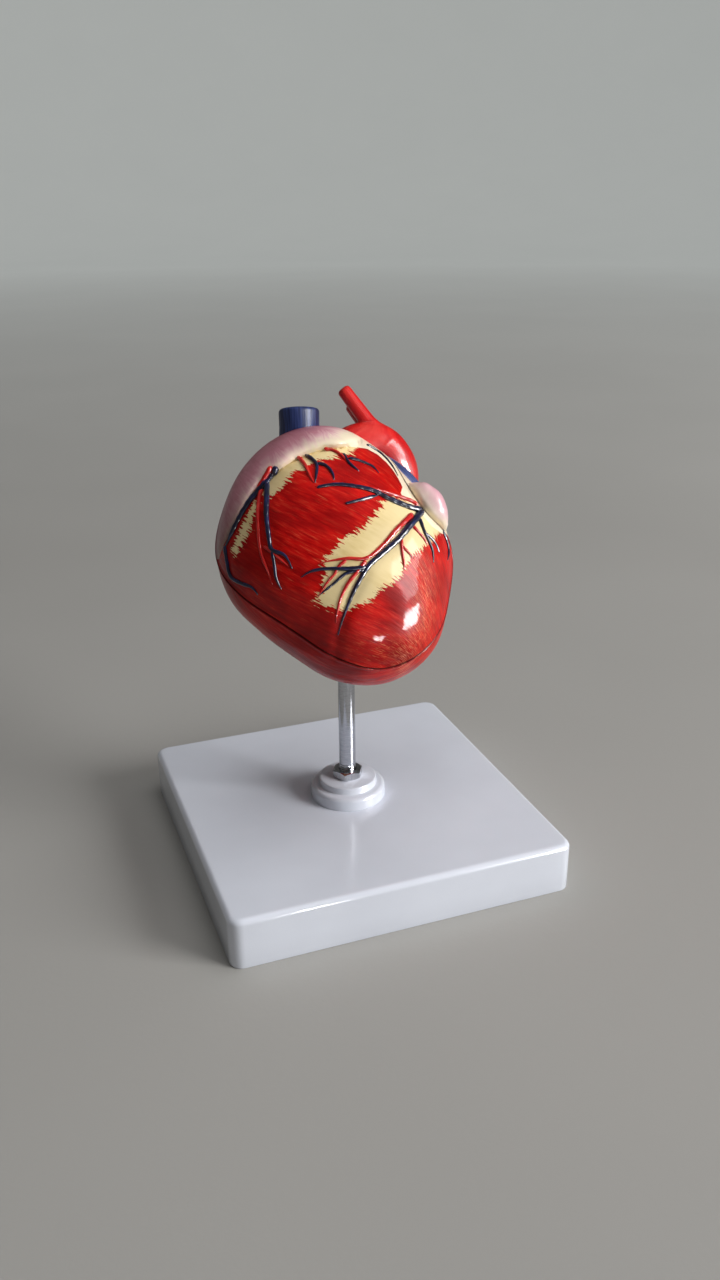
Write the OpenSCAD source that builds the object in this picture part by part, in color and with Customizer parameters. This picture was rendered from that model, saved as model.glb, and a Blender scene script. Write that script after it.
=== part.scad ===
// Anatomical heart teaching model on an upright rod and a square base.
// The base rests on z = 0 and the rod stands on the z axis.
// The heart has its own axes: x to the viewer's right, y up along the leaning heart,
// z out of its front towards the viewer. The front wall pulls off along that z.

/* [Base plate] */
// Side of the square base plate
base_side = 160; // [140:1:200]
// Height of the base plate above the table
base_h = 24; // [20:0.5:30]
// Wall thickness of the base moulding
base_wall = 3; // [2:0.25:4]
// Radius of the upright corners
corner_r = 6; // [4:0.5:12]
// Rounding along the top edges
edge_r = 2.5; // [1:0.25:3]
// Diameter of the boss under the rod
boss_d = 34; // [24:1:44]
// Height of the boss below the base plate's top skin
boss_drop = 9; // [6:0.5:10]
// Thickness of the ribs under the base plate
rib_t = 2.4; // [1.6:0.2:4]
// Height of the ribs under the base plate's top skin
rib_drop = 12; // [8:0.5:14]

/* [Rod and its fasteners] */
// Diameter of the rod
rod_d = 8; // [6:0.5:10]
// Height of the rod's top above the table
rod_top = 118; // [108:1:150]
// Height of the rod's lower end above the table
rod_foot = 5; // [3:0.5:8]
// Diameter of the flange's lower ring
flange_d = 36; // [28:1:48]
// Height of the flange's lower ring
flange_h = 6.5; // [4:0.5:9]
// Rounding of the flange's shoulder
shoulder_r = 2; // [1:0.25:3]
// Diameter of the flange's upper disc
disc_d = 27.6; // [22:0.2:28]
// Height of the flange's upper disc
disc_h = 3.5; // [2:0.25:5]
// Size of the nuts across their flats
nut_af = 13; // [11:0.5:16]
// Height of a nut
nut_h = 4; // [3:0.25:6]
// Diameter of the washer
washer_d = 24; // [18:1:30]
// Thickness of the washer
washer_t = 1.6; // [1:0.1:2.5]
// Play between the rod and a hole that it passes through
hole_play = 0.15; // [0.05:0.05:0.3]

/* [Swivel fit] */
// Wall thickness of the sleeve on the rod's top
sleeve_wall = 2; // [1.5:0.25:3]
// Thickness of the sleeve's closed end
sleeve_cap = 3; // [2:0.5:5]
// Wall thickness of the socket in the heart
socket_wall = 2.2; // [1.5:0.1:3]
// Running play on the radius between the rod, the sleeve and the socket
running_play = 0.06; // [0.02:0.01:0.1]
// Height of the heart's middle above the rod's top
heart_rise = 29; // [24:0.5:36]

/* [Heart] */
// Width of the heart's body
heart_w = 106; // [92:1:124]
// Height of the heart's body along its own lean
heart_h = 118; // [108:1:136]
// Depth of the heart's body in front of its middle plane
front_depth = 43; // [38:1:50]
// Depth of the heart's body behind its middle plane
back_depth = 41; // [38:1:50]
// How far the apex comes forward of the middle plane
apex_reach = 6; // [2:0.5:10]
// Height of the soft swelling in front of the apex
apex_swell = 1.5; // [0:0.25:3]
// Width of the left auricle
auricle_w = 16; // [12:0.5:18]
// Depth of the left auricle
auricle_deep = 26; // [18:0.5:28]
// Thickness of the heart's outer wall
wall = 6; // [4.5:0.25:8]
// Distance of the heart's middle to the left of the rod
heart_shift = 3.2; // [0:0.2:6]
// Lean of the heart away from the viewer, in degrees
heart_lean = 20; // [12:1:26]
// Turn of the heart about the rod, in degrees
heart_turn = -19.4; // [-45:0.1:45]
// Height of the right atrium above the muscle next to it
atrium_rise = 5; // [1:0.25:6]
// Height of the left atrium above the back of the heart
left_atrium_rise = 4; // [1:0.25:6]

/* [Front wall] */
// Gap between the front wall's rim and the back half
seam_gap = 0.3; // [0.2:0.05:0.6]
// Diameter of the pegs that locate the front wall
peg_d = 3; // [2:0.25:3.5]
// Length of a peg on either side of the seam
peg_reach = 4; // [3:0.5:6]
// Play on the radius between a peg and its hole
peg_play = 0.1; // [0.05:0.05:0.2]

/* [Chambers] */
// Thickness of the wall between the ventricles
septum_t = 7; // [4:0.5:10]
// Thickness of the wall between the atria
atrial_septum_t = 3; // [2:0.25:5]
// Thickness of the plate that carries the valves
plate_t = 4; // [3:0.25:6]
// Diameter of the tricuspid valve's opening as a share of the heart's width
tricuspid_share = 0.198; // [0.15:0.002:0.22]
// Diameter of the mitral valve's opening as a share of the heart's width
mitral_share = 0.17; // [0.13:0.002:0.19]
// Diameter of the aortic valve's opening as a share of the heart's width
aortic_share = 0.122; // [0.09:0.002:0.13]
// Thickness of the valves' leaflets
leaflet_t = 1.2; // [0.8:0.1:2]
// Length of the leaflets below the valve plate
leaflet_drop = 8; // [5:0.5:10]
// Diameter of a papillary muscle at its root
papilla_d = 9; // [6:0.5:11]
// Diameter of the tendon strings
string_d = 1.2; // [0.8:0.1:2]

/* [Great vessels] */
// Diameter of the aorta
aorta_d = 18; // [14:0.5:19]
// Diameter of the three branches on the aortic arch
branch_d = 7; // [5:0.2:8]
// Length of the longest of the three branches
branch_len = 33; // [24:0.5:38]
// Diameter of the pulmonary trunk
trunk_d = 14; // [10:0.5:15]
// Diameter of the upper hollow vein
upper_cava_d = 19; // [14:0.2:20]
// Length of the upper hollow vein outside the wall and in it
upper_cava_len = 17; // [14:0.5:24]
// Diameter of the lower hollow vein
lower_cava_d = 16; // [12:0.5:20]
// Length of the lower hollow vein
lower_cava_len = 16; // [12:0.5:20]
// Diameter of the pulmonary veins
lung_vein_d = 9; // [6:0.5:11]
// Length of the pulmonary veins
lung_vein_len = 15; // [12:0.5:20]
// Wall thickness of the vessels at an open mouth
vessel_wall = 1.6; // [1:0.1:2.5]
// Rounding at the vessels' closed ends
vessel_round = 1.5; // [0.5:0.25:2]

/* [Coronary vessels] */
// Diameter of the widest coronary vein
vein_d = 3.4; // [2:0.1:4]
// Diameter of the widest coronary artery
artery_d = 2.4; // [1.4:0.1:3.2]
// Depth that the coronary vessels are let into the wall
inlay = 0.6; // [0.4:0.05:1]

/* [Hidden] */
$fn = 64;

// Overrun of a cut past the face that it opens
over = 1;
half_w = heart_w/2;
half_h = heart_h/2;
tricuspid_d = tricuspid_share*heart_w;
mitral_d = mitral_share*heart_w;
aortic_d = aortic_share*heart_w;
heart_mid = rod_top + heart_rise;
rod_hole_d = rod_d + 2*hole_play;
disc_top = base_h + flange_h + disc_h;
skin_under = base_h - base_wall;
boss_foot = skin_under - boss_drop;

// Radius of the heart's outline every 22.5 degrees from the right limb, as shares of an ellipse
outline_shares = [.96, .91, .83, .86, .96, 1.01, 1.02, 1.01, 1.01, .96, .87, .86, .96, 1.06, 1.08, .99];
// Place of the seam at the same angles: 0 is the middle of the front and 1 the limb
seam_shares = [.90, .65, .73, .97, 1, 1, 1, .99, .88, .66, .57, .55, .57, .66, .75, .90];
// How square the heart's cross-section is: 2 would be an ellipse
fullness = 2.3;

// Facets round the shells, rings over their outer skins and rings over their inner skins
shell_sides = 56;
skin_rings = 15;
lining_rings = 6;

// A smooth closed curve through a list of values, at place x counted in entries
function pick(list, x) =
    let(n = len(list), i = floor(x), g = x - i, p = [for (k = [-1:2]) list[(i + k + 2*n) % n]])
    p[1] + g*(p[2] - p[0])/2 + g*g*(2*p[0] - 5*p[1] + 4*p[2] - p[3])/2
    + g*g*g*(3*(p[1] - p[2]) + p[3] - p[0])/2;

// A smooth open curve through a list of points, at place x counted in points
function along(list, x) =
    let(n = len(list), i = min(floor(x), n - 2), g = x - i,
        p = [for (k = [-1:2]) list[max(0, min(n - 1, i + k))]])
    p[1] + g*(p[2] - p[0])/2 + g*g*(2*p[0] - 5*p[1] + 4*p[2] - p[3])/2
    + g*g*g*(3*(p[1] - p[2]) + p[3] - p[0])/2;

function unit(v) = v/norm(v);
function mix(a, b, f) = a + (b - a)*f;
function smooth(x) = let(c = max(0, min(1, x))) c*c*(3 - 2*c);

// The heart's form. a is the angle round its own z, t runs from 0 in the middle of the
// front over 1 at the limb to 2 in the middle of the back.
function limb_r(a) = pick(outline_shares, a*len(outline_shares)/360) / norm([cos(a)/half_w, sin(a)/half_h]);
function seam_t(a) = min(1, pick(seam_shares, a*len(seam_shares)/360));
function crown(s) = sqrt(max(0, 1 - pow(s, fullness)));
function form(a, t, inset) =
    let(s = sin(90*t), r = s*(limb_r(a) - inset), y = r*sin(a),
        depth = t < 1 ? front_depth - inset : inset - back_depth)
    [r*cos(a), y, depth*crown(s) - apex_reach*y/half_h];

// The right atrium stands proud in front and the left atrium at the back
groove_dir = unit([-.38, .52, -.77]);
groove_share = .1;
tip_share = .24;
blend_share = .12;
left_atrium_shares = [.14, .38];
left_atrium_reach_share = .62;
apex_shares = [.58, -.68];
apex_swell_reach_share = .24;
function front_rise(p, s) =
    let(d = norm([p[0] - apex_shares[0]*half_w, p[1] - apex_shares[1]*half_h]))
    atrium_rise*smooth((groove_dir*p - groove_share*half_h)/(blend_share*half_w) + .5)
    * smooth((tip_share*half_w - p[0])/(blend_share*half_w)) * (1 - pow(s, 8))
    + apex_swell*exp(-pow(d/(apex_swell_reach_share*half_w), 2)) * (1 - pow(s, 8));
function back_rise(p, s) =
    let(d = norm([p[0] - left_atrium_shares[0]*half_w, p[1] - left_atrium_shares[1]*half_h]))
    -left_atrium_rise*smooth((left_atrium_reach_share*half_w - d)/(2*blend_share*half_w));
function skin(a, t) =
    let(p = form(a, t, 0), s = sin(90*t)) p + [0, 0, t < 1 ? front_rise(p, s) : back_rise(p, s)];
function lining(a, t) = form(a, t, wall);

// A point of the skin from its shares of the half width and half height; side is 1 in front
function spot(share, side) =
    let(x = share[0]*half_w, y = share[1]*half_h, a = atan2(y, x),
        s = min(.985, norm([x, y])/limb_r(a)), t = side > 0 ? asin(s)/90 : 2 - asin(s)/90)
    skin(a, t);
function spot_normal(share, side) =
    let(p = spot(share, side), e = .02)
    side*unit(cross(spot(share + [e, 0], side) - p, spot(share + [0, e], side) - p));

// A closed mesh over rings of points, from a first point to a last one. Swapped, its facets
// are parted along their other diagonal.
module closed_mesh(first, rings, last, swapped = false) {
    n = len(rings);
    m = len(rings[0]);
    end = n*m + 1;
    faces = concat(
        [for (j = [0:m - 1]) [0, 1 + (j + 1)%m, 1 + j]],
        [for (i = [0:n - 2], j = [0:m - 1], half = [0, 1])
            let(a = 1 + i*m + j, b = 1 + i*m + (j + 1)%m)
            half == 0 ? (swapped ? [a, b, a + m] : [a, b, b + m])
            : (swapped ? [b, b + m, a + m] : [a, b + m, a + m])],
        [for (j = [0:m - 1]) [1 + (n - 1)*m + j, 1 + (n - 1)*m + (j + 1)%m, end]]);
    polyhedron(points = concat([first], [for (r = rings) each r], [last]), faces = faces);
}

// A round tube mesh along a list of centres, with a radius at each
module tube(centres, radii, sides) {
    n = len(centres);
    heading = [for (i = [0:n - 1]) unit(centres[min(n - 1, i + 1)] - centres[max(0, i - 1)])];
    rings = [for (i = [0:n - 1])
        let(u = unit(cross(heading[i], [0, 0, 1])), v = cross(heading[i], u))
        [for (j = [0:sides - 1]) let(b = 360*j/sides)
            centres[i] + radii[i]*(v*cos(b) + u*sin(b))]];
    closed_mesh(centres[0], rings, centres[n - 1]);
}

// The heart's place on the stand
module in_heart() {
    translate([0, 0, heart_mid]) rotate([0, 0, heart_turn]) translate([-heart_shift, 0, 0])
        rotate([90 - heart_lean, 0, 0]) children();
}

// Turns z onto a direction, with the start at a point
module from_to(p, dir) {
    translate(p) rotate([0, acos(dir[2]/norm(dir)), atan2(dir[1], dir[0])]) children();
}

// The stand
module plan(side, r) {
    square([side - 2*r, side], center = true);
    square([side, side - 2*r], center = true);
    for (x = [-1, 1], y = [-1, 1]) translate([x, y]*(side/2 - r)) circle(r);
}
module side_view(side, r) {
    translate([-side/2, 0]) square([side, base_h - r]);
    translate([r - side/2, 0]) square([side - 2*r, base_h]);
    for (x = [-1, 1]) translate([x*(side/2 - r), base_h - r]) circle(r);
}

module base_plate() {
    color("whitesmoke") difference() {
        union() {
            difference() {
                intersection() {
                    linear_extrude(base_h) plan(base_side, corner_r);
                    rotate([90, 0, 0]) linear_extrude(base_side, center = true)
                        side_view(base_side, edge_r);
                    rotate([90, 0, 90]) linear_extrude(base_side, center = true)
                        side_view(base_side, edge_r);
                }
                translate([0, 0, -over]) linear_extrude(skin_under + over)
                    plan(base_side - 2*base_wall, corner_r - base_wall);
            }
            translate([0, 0, boss_foot]) cylinder(d = boss_d, h = boss_drop + base_wall/2);
            translate([0, 0, skin_under - rib_drop/2]) {
                cube([base_side - base_wall, rib_t, rib_drop], center = true);
                cube([rib_t, base_side - base_wall, rib_drop], center = true);
            }
        }
        cylinder(d = rod_hole_d, h = base_h + over);
        cylinder(d = washer_d + 2*over, h = boss_foot);
    }
}

module rod_flange() {
    color("whitesmoke") translate([0, 0, base_h]) rotate_extrude() difference() {
        union() {
            square([flange_d/2, flange_h - shoulder_r]);
            square([flange_d/2 - shoulder_r, flange_h]);
            translate([flange_d/2 - shoulder_r, flange_h - shoulder_r]) circle(shoulder_r);
            square([disc_d/2, flange_h + disc_h]);
        }
        translate([0, -over]) square([rod_hole_d/2, flange_h + disc_h + 2*over]);
    }
}

module stand_rod() {
    color("lightgray") translate([0, 0, rod_foot]) cylinder(d = rod_d, h = rod_top - rod_foot);
}

module nut() {
    difference() {
        cylinder(d = nut_af/cos(30), h = nut_h, $fn = 6);
        translate([0, 0, -over]) cylinder(d = rod_d, h = nut_h + 2*over);
    }
}
module top_nut() {
    color("silver") translate([0, 0, disc_top]) nut();
}
module under_nut() {
    color("silver") translate([0, 0, boss_foot - washer_t - nut_h]) nut();
}
module under_washer() {
    color("silver") translate([0, 0, boss_foot - washer_t]) difference() {
        cylinder(d = washer_d, h = washer_t);
        translate([0, 0, -over]) cylinder(d = rod_hole_d, h = washer_t + 2*over);
    }
}

// The swivel: a blind sleeve turns on the rod and the heart's blind socket lifts off it
socket_share = .465;
socket_foot = heart_mid - socket_share*heart_h;
sleeve_r = rod_d/2 + running_play + sleeve_wall;
socket_r = sleeve_r + running_play + socket_wall;
sleeve_top = rod_top + sleeve_cap;
socket_top = sleeve_top + socket_wall;

module swivel_sleeve() {
    color("ivory") difference() {
        translate([0, 0, socket_foot]) cylinder(r = sleeve_r, h = sleeve_top - socket_foot);
        translate([0, 0, socket_foot - over])
            cylinder(r = rod_d/2 + running_play, h = rod_top - socket_foot + over);
    }
}
module rod_socket() {
    color("firebrick") difference() {
        translate([0, 0, socket_foot]) cylinder(r = socket_r, h = socket_top - socket_foot);
        translate([0, 0, socket_foot - over])
            cylinder(r = sleeve_r + running_play, h = sleeve_top - socket_foot + over);
    }
}
module socket_space() {
    translate([0, 0, socket_foot - over]) cylinder(r = socket_r, h = socket_top - socket_foot + over);
}

// The two shells meet at one seam, which the gap opens along the heart's own z
function turns(way) = [for (j = [0:shell_sides - 1]) way*360*j/shell_sides];
gap_up = [0, 0, seam_gap];

module front_shell() {
    outer = [for (k = [1:skin_rings]) [for (a = turns(1))
        skin(a, seam_t(a)*k/skin_rings) + (k == skin_rings ? gap_up : [0, 0, 0])]];
    inner = [for (k = [lining_rings:-1:1]) [for (a = turns(1))
        lining(a, seam_t(a)*k/lining_rings) + (k == lining_rings ? gap_up : [0, 0, 0])]];
    closed_mesh(skin(0, 0), concat(outer, inner), lining(0, 0));
}
function back_t(a, k, rings) = mix(2, seam_t(a), k/rings);
module back_shell() {
    outer = [for (k = [1:skin_rings]) [for (a = turns(-1)) skin(a, back_t(a, k, skin_rings))]];
    inner = [for (k = [lining_rings:-1:1]) [for (a = turns(-1)) lining(a, back_t(a, k, lining_rings))]];
    closed_mesh(skin(0, 2), concat(outer, inner), lining(0, 2));
}

// The way that the front wall takes when it is pulled off
module wall_way() {
    rim = [for (a = turns(1)) let(p = skin(a, seam_t(a))) p + seam_gap*unit([p[0], p[1], 0])];
    far = [for (p = rim) [p[0], p[1], 2*front_depth]];
    inside = [for (a = turns(1)) lining(a, seam_t(a))];
    closed_mesh([0, 0, 2*front_depth], [far, rim, inside], [0, 0, 0]);
}

// The hollow as a solid: on the back half's lining, and clear of the front wall's
module hollow() {
    clear = 2*seam_gap;
    front = [for (k = [1:lining_rings]) [for (a = turns(1))
        form(a, seam_t(a)*k/lining_rings, wall + clear)]];
    back = [for (k = [lining_rings:-1:1]) [for (a = turns(1)) lining(a, back_t(a, k, lining_rings))]];
    closed_mesh(form(0, 0, wall + clear), concat(front, back), lining(0, 2), true);
}

// Pegs stand in the middle of the rim's wall
peg_angles = [128, 168, 348];
function peg_place(a) = (skin(a, seam_t(a)) + lining(a, seam_t(a)))/2;
module pegs(r, below, above) {
    for (a = peg_angles) translate(peg_place(a) - [0, 0, below]) cylinder(r = r, h = below + above);
}

// The vessels, the left auricle and the papillary muscles plug into the back half's wall
module heart_back() {
    color("firebrick") difference() {
        in_heart() difference() {
            back_shell();
            pegs(peg_d/2 + peg_play, peg_reach + over, peg_reach);
            upper_cava_stub();
            lower_cava_stub();
            lung_vein_stubs();
            papillae_row();
            aorta_tube();
            trunk_tube();
            ear();
        }
        socket_space();
    }
}
module front_wall() {
    color("firebrick") in_heart() difference() {
        front_shell();
        pegs(peg_d/2, over, peg_reach);
    }
}
module locating_pegs() {
    color("silver") in_heart() pegs(peg_d/2, peg_reach, peg_reach);
}

// The chambers' walls are slabs cut to the hollow
septum_dir = unit([.79, -.34, -.51]);
septum_share = .175;
plate_dir = unit([-.28, .955, -.1]);
plate_share = -.14;
atrial_dir = unit([.92, 0, -.39]);
atrial_share = .2;
slab_side = 2*heart_h;
plate_off = plate_share*half_h;
module slab(dir, from, thick) {
    from_to(dir*from, dir) translate([-slab_side/2, -slab_side/2, 0]) cube([slab_side, slab_side, thick]);
}

plate_front_share = .2;
module septum() {
    color("indianred") difference() {
        in_heart() intersection() {
            hollow();
            slab(septum_dir, septum_share*half_w - septum_t/2, septum_t);
            slab(plate_dir, plate_off - slab_side, slab_side);
        }
        socket_space();
    }
}
aorta_clear_share = .76;
module atrial_septum() {
    color("rosybrown") in_heart() intersection() {
        hollow();
        slab(atrial_dir, atrial_share*half_w - atrial_septum_t/2, atrial_septum_t);
        slab(plate_dir, plate_off + plate_t, slab_side);
        slab([0, 0, -1], aorta_clear_share*back_depth, slab_side);
    }
}

// Middles of the valves on the plate, as shares of the half width and the back depth
tricuspid_shares = [-.41, -.29];
mitral_shares = [.36, -.40];
aortic_shares = [.02, -.06];
function on_plate(shares) =
    let(x = shares[0]*half_w, z = shares[1]*back_depth)
    [x, (plate_off - plate_dir[0]*x - plate_dir[2]*z)/plate_dir[1], z];
module at_valve(shares) {
    from_to(on_plate(shares), plate_dir) children();
}
module valve_plate() {
    color("moccasin") in_heart() difference() {
        intersection() {
            hollow();
            slab(plate_dir, plate_off, plate_t);
            slab([0, 0, -1], -plate_front_share*front_depth, slab_side);
        }
        for (v = [[tricuspid_shares, tricuspid_d], [mitral_shares, mitral_d], [aortic_shares, aortic_d]])
            at_valve(v[0]) translate([0, 0, -over]) cylinder(d = v[1], h = plate_t + 2*over);
    }
}

// A valve: a ring in the plate and a funnel of leaflets below it, parted by slits
slit_w = .8;
mouth_share = .45;
module valve(d, count) {
    mouth_r = d/2*mouth_share;
    difference() {
        union() {
            translate([0, 0, -leaflet_drop]) cylinder(r1 = mouth_r + leaflet_t, r2 = d/2, h = leaflet_drop);
            cylinder(d = d, h = plate_t);
        }
        translate([0, 0, -leaflet_drop - over]) cylinder(r = mouth_r, h = leaflet_drop);
        translate([0, 0, -leaflet_drop]) cylinder(r1 = mouth_r, r2 = d/2 - leaflet_t, h = leaflet_drop);
        translate([0, 0, -over/4]) cylinder(d = d - 2*leaflet_t, h = plate_t + over);
        for (k = [0:count - 1]) rotate([0, 0, 360*k/count])
            translate([0, -slit_w/2, -leaflet_drop - over]) cube([d, slit_w, leaflet_drop + over/2]);
    }
}
module tricuspid_valve() {
    color("ivory") in_heart() at_valve(tricuspid_shares) valve(tricuspid_d, 3);
}
module mitral_valve() {
    color("ivory") in_heart() at_valve(mitral_shares) valve(mitral_d, 2);
}
// Three cusps that close a round mouth: a slit between each two, and a pocket above each
module cusps(d, long) {
    difference() {
        cylinder(d = d, h = long);
        for (k = [0:2]) rotate([0, 0, 120*k]) {
            translate([d/4, 0, leaflet_t]) cylinder(d = d/2 - leaflet_t, h = long);
            rotate([0, 0, 60]) translate([0, -slit_w/2, -over])
                cube([d/2 - leaflet_t, slit_w, leaflet_t + over]);
        }
    }
}
module aortic_valve() {
    color("ivory") in_heart() at_valve(aortic_shares) cusps(aortic_d, plate_t);
}

// Papillary muscles: roots as angle and place on the lining, tops as a share of the way to a valve
papillae = [[222, 1.2, tricuspid_shares, .45], [245, 1.05, tricuspid_shares, .42],
    [297, 1.3, mitral_shares, .5], [318, 1.12, mitral_shares, .5]];
function papilla_root(p) = lining(p[0], p[1]);
function papilla_top(p) = mix(papilla_root(p), on_plate(p[2]) - plate_dir*leaflet_drop, p[3]);
root_depth = wall/3;
module papilla(p) {
    root = papilla_root(p);
    top = papilla_top(p);
    long = norm(top - root);
    r = papilla_d/2;
    from_to(root, top - root) rotate_extrude() intersection() {
        union() {
            polygon([[0, -root_depth], [r, -root_depth], [.75*r, long/2], [.5*r, long - r/2],
                [0, long - r/2]]);
            translate([0, long - r/2]) circle(r/2);
        }
        translate([0, -root_depth]) square([r, root_depth + long]);
    }
}
module papillae_row() {
    for (p = papillae) papilla(p);
}
module papillary_muscles() {
    color("indianred") in_heart() papillae_row();
}
string_spread = 70;
plate_u = unit(cross(plate_dir, [0, 0, 1]));
plate_v = cross(plate_dir, plate_u);
function round_plate(b) = plate_u*cos(b) + plate_v*sin(b);
function leaflet_edge(shares, d, b) =
    on_plate(shares) + plate_dir*(string_d/2 - leaflet_drop)
    + (d/2*mouth_share + leaflet_t/2)*round_plate(b);
module tendon_strings() {
    color("linen") in_heart() for (p = papillae) {
        top = papilla_top(p);
        d = p[2] == mitral_shares ? mitral_d : tricuspid_d;
        towards = top - on_plate(p[2]);
        for (k = [-1:1]) {
            turn = atan2(towards*plate_v, towards*plate_u) + k*string_spread;
            edge = leaflet_edge(p[2], d, turn);
            start = top - unit(top - papilla_root(p))*string_d + papilla_d/6*round_plate(turn);
            from_to(start, edge - start) cylinder(d = string_d, h = norm(edge - start));
        }
    }
}

// Courses of the great vessels, as shares of the half width, half height and back depth
aorta_shares = [[0, -.06, -.1], [-.02, .2, -.27], [-.04, .5, -.42], [-.04, .68, -.5], [.05, .8, -.55],
    [.17, .88, -.59], [.32, .9, -.63], [.43, .86, -.67], [.51, .78, -.72], [.56, .69, -.8],
    [.57, .58, -.84], [.57, .46, -.88]];
trunk_shares = [[.13, .36, .14], [.15, .5, -.04], [.22, .64, -.22], [.36, .68, -.34], [.5, .62, -.4],
    [.62, .52, -.44], [.7, .42, -.49]];
function placed(share) = [share[0]*half_w, share[1]*half_h, share[2]*back_depth];
function course(shares, n) = [for (k = [0:n]) placed(along(shares, k*(len(shares) - 1)/n))];
function ends_round(n, r, cap) = [for (k = [0:n]) k == n ? r*cap : r];

// Feet and leans of the three arch branches. Each widens towards its foot: the flare gives
// heights in diameters of the branch, and widths as shares of it.
branch_foot_shares = [[.36, .96, -.6], [.35, .95, -.78], [.38, .93, -.94]];
branch_dir = unit([-.6, .8, .06]);
branch_len_shares = [1, .8, .7];
branch_flare_shares = [[0, 2], [1, 1.7], [1.25, 1.45], [1.5, 1.25], [2, 1.06]];
branch_tip_share = .92;
module branch(foot, long) {
    tip = branch_tip_share*branch_d/2;
    from_to(foot - branch_dir*branch_d, branch_dir) rotate_extrude()
        polygon(concat([[0, 0]], [for (f = branch_flare_shares) [f[1]*branch_d/2, f[0]*branch_d]],
            [[tip, long - vessel_round], [tip - vessel_round/2, long - vessel_round/4],
            [tip - vessel_round, long], [0, long]]));
}
module aorta_tube() {
    rings = 20;
    tube(course(aorta_shares, rings), ends_round(rings, aorta_d/2, .9), 16);
}
module aorta() {
    color("red") in_heart() {
        difference() {
            aorta_tube();
            slab(plate_dir, plate_off + plate_t - slab_side, slab_side);
        }
        for (k = [0:2]) branch(placed(branch_foot_shares[k]), branch_len*branch_len_shares[k]);
    }
}
// The trunk's mouth over the right ventricle is open, and holds its valve
trunk_mouth = placed(trunk_shares[0]);
trunk_start = placed(trunk_shares[1]) - trunk_mouth;
mouth_d = trunk_d - 2*vessel_wall;
module trunk_tube() {
    rings = 14;
    tube(course(trunk_shares, rings), ends_round(rings, trunk_d/2, .9), 14);
}
module pulmonary_trunk() {
    color("slategray") in_heart() difference() {
        trunk_tube();
        from_to(trunk_mouth, trunk_start) translate([0, 0, -over])
            cylinder(d = mouth_d, h = mouth_d/2 + over);
    }
}
module pulmonary_valve() {
    color("ivory") in_heart() from_to(trunk_mouth, trunk_start) cusps(mouth_d, mouth_d/2);
}

// A straight vessel with a rounded closed end
module stub(d, long) {
    rotate_extrude() {
        square([d/2, long - vessel_round]);
        square([d/2 - vessel_round, long]);
        translate([d/2 - vessel_round, long - vessel_round]) circle(vessel_round);
    }
}
upper_cava_shares = [-.31, .85, -.42];
module upper_cava_stub() {
    from_to(placed(upper_cava_shares), [-.02, 1, 0]) stub(upper_cava_d, upper_cava_len);
}
module upper_vena_cava() {
    color("midnightblue") in_heart() upper_cava_stub();
}
lower_cava_place = [196, 1.5];
lower_cava_dir = unit([-.35, -.75, -.55]);
module lower_cava_stub() {
    from_to(lining(lower_cava_place[0], lower_cava_place[1]) + lower_cava_dir*wall/2, lower_cava_dir)
        stub(lower_cava_d, lower_cava_len);
}
module lower_vena_cava() {
    color("midnightblue") in_heart() lower_cava_stub();
}
lung_vein_shares = [[-.3, .52], [-.34, .26], [.7, .22], [.66, 0]];
module lung_vein_stubs() {
    for (s = lung_vein_shares) {
        dir = unit([sign(s[0])*.8, .1, -.6]);
        from_to(spot(s, -1) - dir*wall*.9, dir) stub(lung_vein_d, lung_vein_len);
    }
}
module pulmonary_veins() {
    color("firebrick") in_heart() lung_vein_stubs();
}

// The left auricle: an ear over the limb, from a course of middles and half widths
auricle_shares = [[.585, .5, .28], [.62, .45, .33], [.68, .385, .37], [.755, .305, .37], [.82, .21, .33],
    [.88, .13, .28]];
auricle_width_shares = [.25, .75, 1, 1, .75, .3];
// Reach of the ear into the wall, as a share of its reach out of it
auricle_inner_share = .6;

// Beside the front wall's rim the ear starts near the rim's height, and it swells from there.
// Inside the rim it stays above the back half's edge, where the front wall's way cuts it off.
ear_swell_share = .44;
ear_round_share = .25;
function under_swell(p) =
    let(a = atan2(p[1], p[0]), rim = skin(a, seam_t(a)),
        d = norm([p[0], p[1]]) - norm([rim[0], rim[1]]) - seam_gap,
        top = rim[2] + 2*seam_gap + (d > 0 ? ear_swell_share*sqrt(d*auricle_w) : -d),
        k = ear_round_share*auricle_w, near = max(0, k - abs(p[2] - top))/k)
    [p[0], p[1], min(p[2], top) - (d > 0 ? near*near*k/4 : 0)];

module ear() {
    n = 10;
    sides = 14;
    last = len(auricle_shares) - 1;
    mids = [for (k = [0:n]) let(s = along(auricle_shares, k*last/n))
        [s[0]*half_w, s[1]*half_h, s[2]*front_depth]];
    widths = [for (k = [0:n]) along(auricle_width_shares, k*last/n)];
    rings = [for (k = [0:n])
        let(step = mids[min(n, k + 1)] - mids[max(0, k - 1)], across = unit([step[1], -step[0], 0]))
        [for (j = [0:sides - 1]) let(b = 360*j/sides)
            under_swell(mids[k] + widths[k]/2*(
                across*auricle_w*cos(b)*(cos(b) > 0 ? auricle_inner_share : 1)
                + [0, 0, auricle_deep*sin(b)]))]];
    closed_mesh(mids[0], rings, mids[n]);
}
module left_auricle() {
    color("mistyrose") in_heart() difference() {
        ear();
        wall_way();
    }
}

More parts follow.
